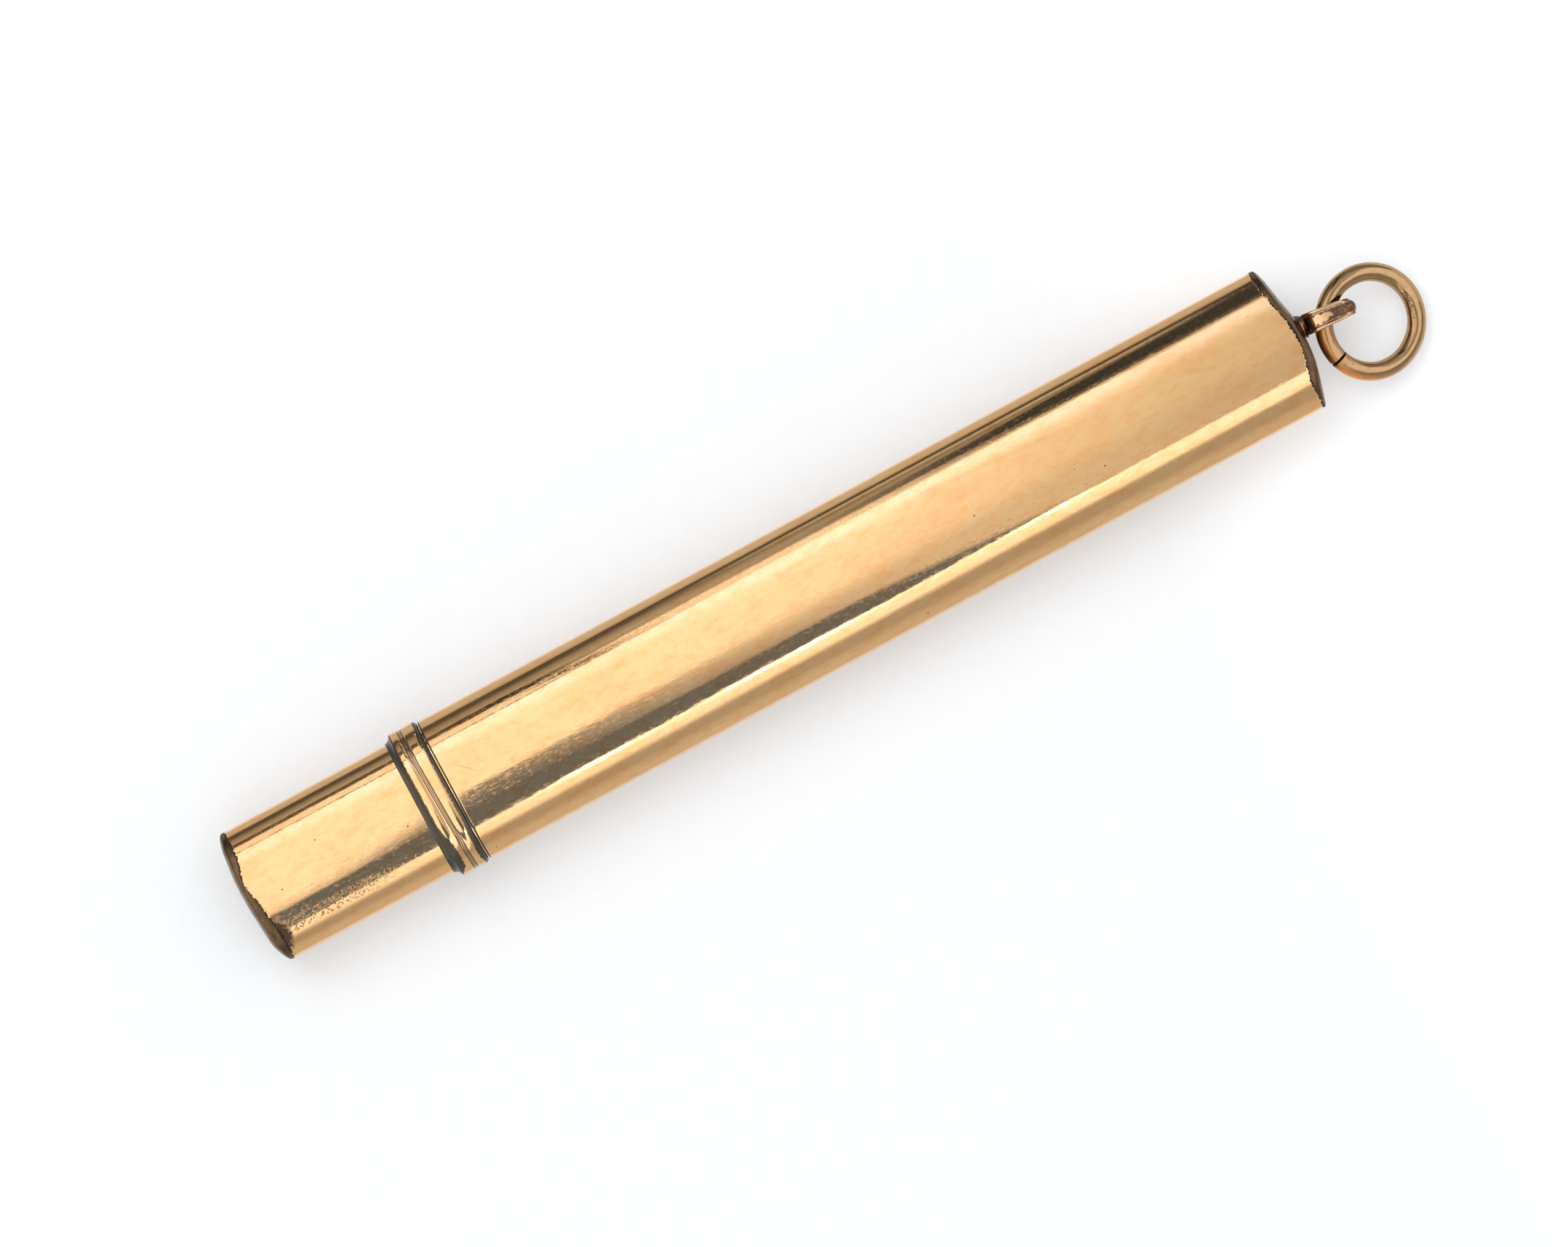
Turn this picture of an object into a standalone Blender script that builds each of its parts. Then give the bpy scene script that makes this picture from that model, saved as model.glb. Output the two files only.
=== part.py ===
# A flat oval pendant pencil. The sheath has an eye and a jump ring at one end, and the
# pencil pulls out of its mouth at the other. Sizes are in metres and angles in degrees.
# X runs along the pencil towards the ring, Y across its width and Z up through it.
import math

import bmesh
import bpy
from mathutils import Matrix, Vector

# Lead and feed, from the middle outwards
LEAD_RADIUS = 0.45e-3
LEAD_FIT = 0.03e-3
LEAD_SHOWS = 1.0e-3
LEAD_POINT_LENGTH = 0.7e-3
LEAD_POINT_RADIUS = 0.15e-3
CUP_WALL = 0.16e-3
CUP_DEPTH = 1.8e-3
CARRIER_FRONT = 3.0e-3
CARRIER_TAIL = 1.2e-3
CARRIER_FIT = 0.06e-3
PIN_RADIUS = 0.20e-3
PIN_SEAT = 0.02e-3
PIN_DEPTH = 0.42e-3
SLOT_FIT = 0.06e-3
SLOT_TUBE_WALL = 0.26e-3
FEED_FIT = 0.12e-3
HELIX_WIRE_RADIUS = 0.15e-3
HELIX_PITCH = 1.5e-3
HELIX_SEAT = 0.03e-3
TURNS_BEHIND_PIN = 2
TURNS_BACK = 1
TURNS_OUT = 7
CASING_WALL = 0.28e-3
CASING_LENGTH = 22.0e-3
CASING_NOSE = 0.5e-3
BUSH_LENGTH = 1.4e-3
BUSH_SETBACK = 0.05e-3
RUNNING_FIT = 0.05e-3
WASHER_THICKNESS = 0.5e-3
WASHER_GAP = 0.08e-3
TUBE_TAIL = 0.2e-3
PLATE_THICKNESS = 0.8e-3
PLATE_INSET = 0.15e-3
REAR_PLATE_SETBACK = 2.5e-3
SOLDER_GAP = 0.02e-3

# Nozzle
NOZZLE_WALL = 0.45e-3
NOZZLE_GAP = 0.06e-3
SOCKET_DEPTH = 5.0e-3
NOZZLE_BARREL = 3.6e-3
NOZZLE_CONE = 4.6e-3
NOZZLE_TIP = 2.0e-3
TIP_WALL = 0.17e-3
GRIP_LENGTH = 2.4e-3
GRIP_PROUD = 0.20e-3
GRIP_SETBACK = 0.3e-3
GRIP_TEETH = 24
TOOTH_DEPTH = 0.09e-3
GRIP_CHAMFER = 0.15e-3

# Flat oval section: the barrel's bore, and the walls and fit that lie outside it
BORE_WIDTH = 9.04e-3
FLAT_HALF = 1.6e-3
SIDE_RELIEF = 0.40e-3
CASING_ROOM = 0.28e-3
BARREL_WALL = 0.28e-3
SLIDE_FIT = 0.07e-3
SHEATH_WALL = 0.28e-3
COLLAR_PROUD = 0.18e-3

# Lengths from the sheath's mouth, and the room left beyond a lead that is fed right out
BUTT_LENGTH = 14.73e-3
SHEATH_LENGTH = 63.26e-3
MOUTH_GAP = 0.08e-3
LEAD_ROOM = 7.0e-3

# Domed ends: the tubes bulge at their closed ends, and the caps round off from a low rim
SHEATH_BULGE = 0.56e-3
BUTT_BULGE = 0.28e-3
CAP_EDGE = 0.06e-3
CAP_RISE = 0.52e-3
CAP_POWER = 3.0
PLUG_DEPTH = 0.6e-3

# Collar, from the sheath's mouth towards the butt
STOP_EDGE = 0.35e-3
STOP_RISE = 0.24e-3
FRONT_BAND = 0.70e-3
GROOVE_WIDTH = 0.40e-3
GROOVE_DEPTH = 0.07e-3
BACK_BAND = 0.62e-3
COVE_LENGTH = 0.42e-3
COVE_LIP = 0.04e-3

# Eye and jump ring
PEG_RADIUS = 0.50e-3
RIVET_RADIUS = 0.80e-3
RIVET_THICKNESS = 0.35e-3
FOOT_RADIUS = 0.80e-3
FOOT_WAIST = 0.74e-3
FOOT_LENGTH = 0.26e-3
SADDLE_DEPTH = 0.32e-3
EYE_RADIUS = 1.86e-3
EYE_WALL = 0.34e-3
EYE_WIDTH = 1.34e-3
EYE_EDGE = 0.10e-3
EYE_TWIST = -8.0
RING_RADIUS = 3.33e-3
WIRE_RADIUS = 0.643e-3
RING_HEADING = -35.0
RING_SHIFT = -0.325e-3
RING_SIDE = 0.25e-3
SPLIT_WIDTH = 0.12e-3
SPLIT_ANGLE = 234.0
TABLE_GAP = 0.01e-3

# How finely curves are divided
FLAT_STEPS = 4
SHOULDER_STEPS = 5
SIDE_STEPS = 6
ROUND_STEPS = 28
RING_STEPS = 56
WIRE_STEPS = 14
COIL_STEPS = 12
MOULDING_STEPS = 4
DOME_SCALES = (0.985, 0.94, 0.85, 0.68, 0.42)

# Radii of the feed, each from the one inside it
CARRIER_RADIUS = LEAD_RADIUS + LEAD_FIT + CUP_WALL
TUBE_BORE = CARRIER_RADIUS + CARRIER_FIT
TUBE_RADIUS = TUBE_BORE + SLOT_TUBE_WALL
COIL_RADIUS = TUBE_RADIUS + FEED_FIT + HELIX_WIRE_RADIUS
CASING_BORE = COIL_RADIUS + HELIX_WIRE_RADIUS + HELIX_SEAT
CASING_RADIUS = CASING_BORE + CASING_WALL
NOZZLE_RADIUS = TUBE_RADIUS + SOLDER_GAP + NOZZLE_WALL
GRIP_RADIUS = CASING_RADIUS + GRIP_PROUD

# Section sizes that follow from the bore
BORE_HALF_HEIGHT = CASING_RADIUS + CASING_ROOM
SIDE_RADIUS = BORE_HALF_HEIGHT - SIDE_RELIEF
SIDE_REACH = BORE_WIDTH / 2 - SIDE_RADIUS - FLAT_HALF
SHOULDER_EXTRA = (SIDE_REACH**2 + SIDE_RELIEF**2) / (2 * SIDE_RELIEF)
SHOULDER_LEAN = math.atan2(SIDE_REACH, SHOULDER_EXTRA - SIDE_RELIEF)
SHEATH_BORE = BARREL_WALL + SLIDE_FIT
SHEATH_OUTSIDE = SHEATH_BORE + SHEATH_WALL
COLLAR_OUTSIDE = SHEATH_OUTSIDE + COLLAR_PROUD

# Places along X, counted from the sheath's mouth
LEAD_FRONT = SHEATH_LENGTH - LEAD_ROOM - TURNS_OUT * HELIX_PITCH
NOZZLE_FRONT = LEAD_FRONT - LEAD_SHOWS
NOZZLE_BACK = NOZZLE_FRONT - NOZZLE_TIP - NOZZLE_CONE - NOZZLE_BARREL
CASING_FRONT = NOZZLE_BACK - NOZZLE_GAP
CASING_BACK = CASING_FRONT - CASING_LENGTH
BARREL_FRONT = CASING_FRONT - CASING_NOSE
COIL_BACK = CASING_BACK + BUSH_SETBACK + BUSH_LENGTH + HELIX_WIRE_RADIUS + HELIX_SEAT
COIL_FRONT = CASING_FRONT - BUSH_SETBACK - BUSH_LENGTH - HELIX_WIRE_RADIUS - HELIX_SEAT
PIN_PLACE = COIL_BACK + (TURNS_BEHIND_PIN + 0.5) * HELIX_PITCH
CARRIER_END = PIN_PLACE + CARRIER_FRONT
SHEATH_DOME = SHEATH_LENGTH + SHEATH_BULGE + SOLDER_GAP + CAP_EDGE + CAP_RISE
BUTT_DOME = -(BUTT_LENGTH + BUTT_BULGE + SOLDER_GAP + CAP_EDGE + CAP_RISE)
EYE_CENTRE = SHEATH_DOME + SOLDER_GAP + FOOT_LENGTH + EYE_RADIUS

# The ring leans from the eye down to the surface that the pencil lies on
AXIS_HEIGHT = BORE_HALF_HEIGHT + COLLAR_OUTSIDE
RING_DROP = AXIS_HEIGHT - WIRE_RADIUS - TABLE_GAP
RING_TILT = math.asin(RING_DROP / (2 * RING_RADIUS))
RING_LEVEL = RING_RADIUS * math.cos(RING_TILT)
HEADING = math.radians(RING_HEADING)
RING_CENTRE_X = EYE_CENTRE + RING_SHIFT + RING_LEVEL * math.cos(HEADING)
RING_HALF_LENGTH = math.hypot(RING_LEVEL * math.cos(HEADING), RING_RADIUS * math.sin(HEADING))
RING_END = RING_CENTRE_X + RING_HALF_LENGTH + WIRE_RADIUS
MOUTH_X = -(RING_END + BUTT_DOME) / 2


def clear_scene():
    for item in list(bpy.data.objects):
        bpy.data.objects.remove(item)


def finish(name, colour, roughness, metallic):
    material = bpy.data.materials.new(name)
    material.use_nodes = True
    shader = material.node_tree.nodes["Principled BSDF"]
    shader.inputs["Base Color"].default_value = (*colour, 1.0)
    shader.inputs["Roughness"].default_value = roughness
    shader.inputs["Metallic"].default_value = metallic
    material.diffuse_color = (*colour, 1.0)
    return material


def empty(name, place, parent=None):
    item = bpy.data.objects.new(name, None)
    item.empty_display_size = BORE_WIDTH
    item.location = place
    item.parent = parent
    bpy.context.collection.objects.link(item)
    return item


def finished(name, mesh, material, parent, crease=35.0):
    bmesh.ops.recalc_face_normals(mesh, faces=mesh.faces)
    data = bpy.data.meshes.new(name)
    mesh.to_mesh(data)
    mesh.free()
    data.shade_smooth()
    data.set_sharp_from_angle(angle=math.radians(crease))
    data.materials.append(material)
    item = bpy.data.objects.new(name, data)
    item.parent = parent
    bpy.context.collection.objects.link(item)
    return item


def oval(offset, scale=1.0):
    # The flat oval that lies offset outside the barrel's bore: flats, shoulders and round sides
    quarter = []
    for step in range(FLAT_STEPS // 2):
        quarter.append((2 * FLAT_HALF * step / FLAT_STEPS, BORE_HALF_HEIGHT + offset))
    for step in range(SHOULDER_STEPS):
        angle = SHOULDER_LEAN * step / SHOULDER_STEPS
        radius = SIDE_RADIUS + SHOULDER_EXTRA + offset
        middle = BORE_HALF_HEIGHT - SIDE_RADIUS - SHOULDER_EXTRA
        quarter.append((FLAT_HALF + radius * math.sin(angle), middle + radius * math.cos(angle)))
    for step in range(SIDE_STEPS):
        angle = SHOULDER_LEAN + (math.pi / 2 - SHOULDER_LEAN) * step / SIDE_STEPS
        radius = SIDE_RADIUS + offset
        quarter.append((FLAT_HALF + SIDE_REACH + radius * math.sin(angle), radius * math.cos(angle)))
    side = (FLAT_HALF + SIDE_REACH + SIDE_RADIUS + offset, 0.0)
    right = quarter + [side] + [(y, -z) for y, z in reversed(quarter[1:])]
    whole = right + [(-y, -z) for y, z in right]
    return [(y * scale, z * scale) for y, z in whole]


def circle(radius, count, start=90.0):
    # Corners in the same turning sense as an oval's, so that the two can be bridged
    angles = [math.radians(start) - 2 * math.pi * step / count for step in range(count)]
    return [(radius * math.cos(angle), radius * math.sin(angle)) for angle in angles]


def at(outline, place):
    # An outline set at one place along X, or at a place that varies with Y
    if callable(place):
        return [(place(y), y, z) for y, z in outline]
    return [(place, y, z) for y, z in outline]


def loop_edges(mesh, points):
    return [mesh.edges.new((points[i - 1], points[i])) for i in range(len(points))]


def bridged(mesh, near, far):
    for i in range(len(near)):
        mesh.faces.new((near[i - 1], near[i], far[i], far[i - 1]))


def lofted(name, loops, material, parent, ring=False, crease=35.0):
    # Bridges each loop to the next. A ring also bridges the last to the first, a rod is filled
    mesh = bmesh.new()
    rims = [[mesh.verts.new(corner) for corner in corners] for corners in loops]
    for near, far in zip(rims, rims[1:]):
        bridged(mesh, near, far)
    if ring:
        bridged(mesh, rims[-1], rims[0])
    else:
        mesh.faces.new(rims[0])
        mesh.faces.new(rims[-1])
    return finished(name, mesh, material, parent, crease)


def turned(name, profile, material, parent, steps=ROUND_STEPS, crease=35.0):
    # Spins a closed profile of (x, radius) corners about X
    mesh = bmesh.new()
    points = [mesh.verts.new((x, 0.0, radius)) for x, radius in profile]
    bmesh.ops.spin(
        mesh,
        geom=points + loop_edges(mesh, points),
        cent=(0.0, 0.0, 0.0),
        axis=(1.0, 0.0, 0.0),
        angle=2 * math.pi,
        steps=steps,
        use_merge=True,
    )
    return finished(name, mesh, material, parent, crease)


def rod(name, profile, material, parent, steps=ROUND_STEPS, crease=35.0):
    # A solid turned piece: a round loop at each (x, radius) corner, filled at both ends
    loops = [at(circle(radius, steps), x) for x, radius in profile]
    return lofted(name, loops, material, parent, crease=crease)


def pipe(name, back, front, bore, radius, material, parent):
    profile = [(back, bore), (back, radius), (front, radius), (front, bore)]
    return turned(name, profile, material, parent)


def cut(item, cutter):
    cutter.hide_render = True
    cutter.display_type = "WIRE"
    modifier = item.modifiers.new(cutter.name, "BOOLEAN")
    modifier.operation = "DIFFERENCE"
    modifier.solver = "EXACT"
    modifier.object = cutter


def end_edge(length, offset):
    # A tube's closed end, which bulges along X in the middle of its width
    half = BORE_WIDTH / 2 + offset
    bulge = SHEATH_BULGE if length > 0 else BUTT_BULGE
    return lambda y: math.copysign(abs(length) + bulge * (1 - (y / half) ** 2), length)


def oval_tube(name, back, front, inside, outside, material, parent):
    loops = [
        at(oval(inside), back),
        at(oval(outside), back),
        at(oval(outside), front),
        at(oval(inside), front),
    ]
    return lofted(name, loops, material, parent, ring=True)


def end_cap(name, length, inside, outside, material, parent, hole=None):
    # A domed plate on a tube's end, with a plug that fits in the bore
    way = math.copysign(1.0, length)
    edge = end_edge(length, outside)

    def beyond(distance):
        return lambda y: edge(y) + way * distance

    plug = inside - SOLDER_GAP
    loops = [
        at(oval(plug), beyond(-PLUG_DEPTH)),
        at(oval(plug), beyond(SOLDER_GAP)),
        at(oval(outside), beyond(SOLDER_GAP)),
        at(oval(outside), beyond(SOLDER_GAP + CAP_EDGE)),
    ]
    for scale in DOME_SCALES:
        rise = SOLDER_GAP + CAP_EDGE + CAP_RISE * math.sqrt(1 - scale**CAP_POWER)
        loops.append(at(oval(outside, scale), beyond(rise)))
    if hole:
        count = len(loops[0])
        top = SOLDER_GAP + CAP_EDGE + CAP_RISE
        loops.append(at(circle(hole, count), beyond(top)))
        loops.append(at(circle(hole, count), beyond(-PLUG_DEPTH)))
    return lofted(name, loops, material, parent, ring=bool(hole))


def oval_plate(name, back, front, outside, hole, material, parent):
    count = len(oval(outside))
    loops = [
        at(circle(hole, count), back),
        at(oval(outside), back),
        at(oval(outside), front),
        at(circle(hole, count), front),
    ]
    return lofted(name, loops, material, parent, ring=True)


def make_sheath(parent, gold, tarnish, copper):
    oval_tube(
        "sheath_tube",
        MOUTH_GAP,
        end_edge(SHEATH_LENGTH, SHEATH_OUTSIDE),
        SHEATH_BORE,
        SHEATH_OUTSIDE,
        gold,
        parent,
    )
    hole = PEG_RADIUS + SOLDER_GAP
    end_cap("sheath_end_cap", SHEATH_LENGTH, SHEATH_BORE, SHEATH_OUTSIDE, tarnish, parent, hole)
    make_eye(parent, copper)


def make_eye(parent, copper):
    # The peg is riveted behind the cap, and its foot is hollowed to seat the loop
    inner_face = SHEATH_LENGTH + SHEATH_BULGE - PLUG_DEPTH - SOLDER_GAP
    foot = SHEATH_DOME + SOLDER_GAP
    head = EYE_CENTRE - EYE_RADIUS + SADDLE_DEPTH
    profile = [
        (inner_face - RIVET_THICKNESS, RIVET_RADIUS),
        (inner_face, RIVET_RADIUS),
        (inner_face, PEG_RADIUS),
        (foot, PEG_RADIUS),
        (foot, FOOT_RADIUS),
        (foot + FOOT_LENGTH / 2, FOOT_WAIST),
        (head, FOOT_RADIUS),
    ]
    peg = rod("eye_peg", profile, copper, parent)
    seat_radius = EYE_RADIUS + SOLDER_GAP
    saddle = rod("saddle_cutter", [(-EYE_WIDTH, seat_radius), (EYE_WIDTH, seat_radius)], copper, parent)
    saddle.location = (EYE_CENTRE, 0.0, 0.0)
    saddle.rotation_euler = (0.0, 0.0, math.radians(90.0 + EYE_TWIST))
    cut(peg, saddle)

    half = EYE_WIDTH / 2
    inner = EYE_RADIUS - EYE_WALL
    band = [
        (-half, inner + EYE_EDGE),
        (-half, EYE_RADIUS - EYE_EDGE),
        (-half + EYE_EDGE, EYE_RADIUS),
        (half - EYE_EDGE, EYE_RADIUS),
        (half, EYE_RADIUS - EYE_EDGE),
        (half, inner + EYE_EDGE),
        (half - EYE_EDGE, inner),
        (-half + EYE_EDGE, inner),
    ]
    loop = turned("eye_loop", band, copper, parent, steps=2 * ROUND_STEPS)
    loop.location = (EYE_CENTRE, 0.0, 0.0)
    loop.rotation_euler = (0.0, 0.0, math.radians(90.0 + EYE_TWIST))


def make_jump_ring(parent, copper):
    # Its origin is on the wire where that crosses the eye, so that local Y is the swing's axis
    mesh = bmesh.new()
    middle = Vector((RING_RADIUS, 0.0, 0.0))
    split = SPLIT_WIDTH / RING_RADIUS
    start = Matrix.Rotation(math.radians(SPLIT_ANGLE) + split / 2, 3, "Z")
    points = []
    for across, up in circle(WIRE_RADIUS, WIRE_STEPS):
        points.append(mesh.verts.new(middle + start @ Vector((RING_RADIUS + across, 0.0, up))))
    bmesh.ops.spin(
        mesh,
        geom=points + loop_edges(mesh, points),
        cent=middle,
        axis=(0.0, 0.0, 1.0),
        angle=2 * math.pi - split,
        steps=RING_STEPS,
    )
    bmesh.ops.holes_fill(mesh, edges=mesh.edges, sides=0)
    ring = finished("jump_ring", mesh, copper, parent, crease=50.0)
    ring.location = (EYE_CENTRE + RING_SHIFT, RING_SIDE, 0.0)
    ring.rotation_euler = (0.0, RING_TILT, HEADING)


def make_collar(parent, gold):
    # Rounded stop edge, two bands with a groove between them, and a hollow cove
    bore = BARREL_WALL + SOLDER_GAP
    proud = COLLAR_OUTSIDE - bore
    groove = STOP_EDGE + FRONT_BAND
    cove = groove + GROOVE_WIDTH + BACK_BAND
    profile = [(0.0, bore)]
    for step in range(MOULDING_STEPS + 1):
        angle = math.pi / 2 * step / MOULDING_STEPS
        drop = STOP_RISE * (1 - math.sin(angle))
        profile.append((STOP_EDGE * (1 - math.cos(angle)), COLLAR_OUTSIDE - drop))
    profile.append((groove, COLLAR_OUTSIDE))
    profile.append((groove + GROOVE_WIDTH / 2, COLLAR_OUTSIDE - GROOVE_DEPTH))
    profile.append((groove + GROOVE_WIDTH, COLLAR_OUTSIDE))
    for step in range(MOULDING_STEPS + 1):
        angle = math.pi / 2 * step / MOULDING_STEPS
        drop = (proud - COVE_LIP) * math.sin(angle)
        profile.append((cove + COVE_LENGTH * (1 - math.cos(angle)), COLLAR_OUTSIDE - drop))
    profile.append((cove + COVE_LENGTH, bore))
    loops = [at(oval(offset), -place) for place, offset in profile]
    lofted("stop_collar", loops, gold, parent, ring=True, crease=25.0)


def make_barrel(parent, gold, tarnish, brass):
    butt_edge = end_edge(-BUTT_LENGTH, BARREL_WALL)
    oval_tube("pencil_barrel", butt_edge, BARREL_FRONT, 0.0, BARREL_WALL, gold, parent)
    end_cap("butt_end_cap", -BUTT_LENGTH, 0.0, BARREL_WALL, tarnish, parent)
    make_collar(parent, gold)
    front = BARREL_FRONT - PLATE_INSET
    back = CASING_BACK + REAR_PLATE_SETBACK
    hole = CASING_RADIUS + SOLDER_GAP
    oval_plate("front_plate", front - PLATE_THICKNESS, front, -SOLDER_GAP, hole, gold, parent)
    oval_plate("rear_plate", back, back + PLATE_THICKNESS, -SOLDER_GAP, hole, brass, parent)


def make_feed(parent, brass, steel):
    pipe("feed_casing", CASING_BACK, CASING_FRONT, CASING_BORE, CASING_RADIUS, brass, parent)
    bore = TUBE_RADIUS + RUNNING_FIT
    outside = CASING_BORE - SOLDER_GAP
    front = CASING_FRONT - BUSH_SETBACK
    back = CASING_BACK + BUSH_SETBACK
    pipe("front_bush", front - BUSH_LENGTH, front, bore, outside, brass, parent)
    pipe("rear_bush", back, back + BUSH_LENGTH, bore, outside, brass, parent)
    make_helix(parent, steel)


def make_helix(parent, steel):
    # A right-handed coil that starts above the axis, on the side where the pin points
    curve = bpy.data.curves.new("feed_helix", "CURVE")
    curve.dimensions = "3D"
    curve.bevel_depth = HELIX_WIRE_RADIUS
    curve.bevel_resolution = 1
    curve.use_fill_caps = True
    count = int(COIL_STEPS * (COIL_FRONT - COIL_BACK) / HELIX_PITCH) + 1
    spline = curve.splines.new("POLY")
    spline.points.add(count - 1)
    for step, point in enumerate(spline.points):
        angle = math.pi / 2 + 2 * math.pi * step / COIL_STEPS
        place = COIL_BACK + HELIX_PITCH * step / COIL_STEPS
        point.co = (place, COIL_RADIUS * math.cos(angle), COIL_RADIUS * math.sin(angle), 1.0)
    curve.materials.append(steel)
    item = bpy.data.objects.new("feed_helix", curve)
    item.parent = parent
    bpy.context.collection.objects.link(item)


def make_nozzle(parent, gold, brass):
    make_slotted_tube(parent, brass)
    front = CASING_BACK - WASHER_GAP
    hole = TUBE_RADIUS + SOLDER_GAP
    pipe("tail_washer", front - WASHER_THICKNESS, front, hole, CASING_BORE, brass, parent)

    shoulder = NOZZLE_BACK + NOZZLE_BARREL
    tip = shoulder + NOZZLE_CONE
    socket = NOZZLE_BACK + SOCKET_DEPTH
    bore = LEAD_RADIUS + LEAD_FIT
    profile = [
        (NOZZLE_BACK, hole),
        (NOZZLE_BACK, NOZZLE_RADIUS),
        (shoulder, NOZZLE_RADIUS),
        (tip, bore + TIP_WALL),
        (NOZZLE_FRONT, bore + TIP_WALL),
        (NOZZLE_FRONT, bore),
        (socket, bore),
        (socket, hole),
    ]
    turned("nozzle", profile, gold, parent)

    count = 2 * GRIP_TEETH
    hole_loop = circle(NOZZLE_RADIUS + SOLDER_GAP, count)
    teeth = []
    for index, (y, z) in enumerate(circle(GRIP_RADIUS, count)):
        scale = 1 - (index % 2) * TOOTH_DEPTH / GRIP_RADIUS
        teeth.append((y * scale, z * scale))
    rim = circle(GRIP_RADIUS - GRIP_CHAMFER, count)
    back = NOZZLE_BACK + GRIP_SETBACK
    front = back + GRIP_LENGTH
    loops = [
        at(hole_loop, back),
        at(rim, back),
        at(teeth, back + GRIP_CHAMFER),
        at(teeth, front - GRIP_CHAMFER),
        at(rim, front),
        at(hole_loop, front),
    ]
    lofted("nozzle_grip", loops, gold, parent, ring=True, crease=20.0)


def make_slotted_tube(parent, brass):
    # The slot is as long as the pin's travel, and opens upwards
    back = CASING_BACK - WASHER_GAP - WASHER_THICKNESS - TUBE_TAIL
    front = NOZZLE_BACK + SOCKET_DEPTH - SOLDER_GAP
    tube = pipe("slotted_tube", back, front, TUBE_BORE, TUBE_RADIUS, brass, parent)
    half = PIN_RADIUS + SLOT_FIT
    first = PIN_PLACE - TURNS_BACK * HELIX_PITCH - half
    last = PIN_PLACE + TURNS_OUT * HELIX_PITCH + half
    mesh = bmesh.new()
    bmesh.ops.create_cube(mesh, size=1.0)
    bmesh.ops.scale(mesh, vec=(last - first, 2 * half, 2 * TUBE_RADIUS), verts=mesh.verts)
    bmesh.ops.translate(mesh, vec=((first + last) / 2, 0.0, TUBE_RADIUS), verts=mesh.verts)
    cut(tube, finished("slot_cutter", mesh, brass, parent))


def make_carrier(parent, brass, steel, graphite):
    # Rod with a cup for the lead, and a pin that stands up from it between the coil's turns
    cup = LEAD_RADIUS + LEAD_FIT
    bottom = CARRIER_END - CUP_DEPTH
    profile = [
        (PIN_PLACE - CARRIER_TAIL, CARRIER_RADIUS),
        (CARRIER_END, CARRIER_RADIUS),
        (CARRIER_END, cup),
        (bottom, cup),
    ]
    carrier = rod("lead_carrier", profile, brass, parent)
    foot = CARRIER_RADIUS - PIN_DEPTH
    upright = Matrix.Rotation(math.radians(-90.0), 4, "Y")
    bore = PIN_RADIUS + PIN_SEAT
    hole = rod("pin_cutter", [(foot, bore), (CASING_RADIUS, bore)], brass, parent)
    head = COIL_RADIUS + HELIX_SEAT
    pin = rod("carrier_pin", [(foot + PIN_SEAT, PIN_RADIUS), (head, PIN_RADIUS)], steel, parent)
    for piece in (hole, pin):
        piece.data.transform(upright)
        piece.location = (PIN_PLACE, 0.0, 0.0)
    cut(carrier, hole)

    shank = LEAD_FRONT - LEAD_POINT_LENGTH
    profile = [(bottom + LEAD_FIT, LEAD_RADIUS), (shank, LEAD_RADIUS), (LEAD_FRONT, LEAD_POINT_RADIUS)]
    rod("lead", profile, graphite, parent)


def main():
    clear_scene()
    gold = finish("polished_gold", (0.88, 0.62, 0.27), 0.16, 1.0)
    copper = finish("rose_gold", (0.70, 0.43, 0.20), 0.28, 1.0)
    tarnish = finish("tarnished_gold", (0.32, 0.19, 0.09), 0.38, 1.0)
    brass = finish("plain_brass", (0.72, 0.52, 0.22), 0.35, 1.0)
    steel = finish("steel_wire", (0.45, 0.44, 0.42), 0.35, 1.0)
    graphite = finish("graphite", (0.035, 0.035, 0.04), 0.45, 0.2)

    sheath = empty("sheath_mouth", (MOUTH_X, 0.0, AXIS_HEIGHT))
    pencil = empty("pencil_slide", (0.0, 0.0, 0.0), sheath)
    twist = empty("nozzle_twist", (0.0, 0.0, 0.0), pencil)
    feed = empty("lead_feed", (0.0, 0.0, 0.0), twist)

    make_sheath(sheath, gold, tarnish, copper)
    make_jump_ring(sheath, copper)
    make_barrel(pencil, gold, tarnish, brass)
    make_feed(pencil, brass, steel)
    make_nozzle(twist, gold, brass)
    make_carrier(feed, brass, steel, graphite)


main()
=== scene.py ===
import math

import bmesh
import bpy
from mathutils import Matrix, Vector, noise


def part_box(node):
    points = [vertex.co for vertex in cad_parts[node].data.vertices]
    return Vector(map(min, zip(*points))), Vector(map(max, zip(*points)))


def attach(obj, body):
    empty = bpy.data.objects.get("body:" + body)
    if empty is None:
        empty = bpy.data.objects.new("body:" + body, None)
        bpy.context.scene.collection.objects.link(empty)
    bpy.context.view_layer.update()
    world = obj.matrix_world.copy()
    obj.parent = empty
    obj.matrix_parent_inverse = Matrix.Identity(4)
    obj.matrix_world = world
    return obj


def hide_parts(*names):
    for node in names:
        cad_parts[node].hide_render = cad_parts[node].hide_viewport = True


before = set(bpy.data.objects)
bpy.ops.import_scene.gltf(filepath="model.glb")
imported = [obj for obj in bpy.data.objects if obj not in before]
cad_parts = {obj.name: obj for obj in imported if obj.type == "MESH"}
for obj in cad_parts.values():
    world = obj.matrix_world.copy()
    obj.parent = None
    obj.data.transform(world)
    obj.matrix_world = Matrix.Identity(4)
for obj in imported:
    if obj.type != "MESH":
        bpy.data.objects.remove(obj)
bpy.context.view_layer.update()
mm = 0.001
scene = bpy.context.scene
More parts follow.
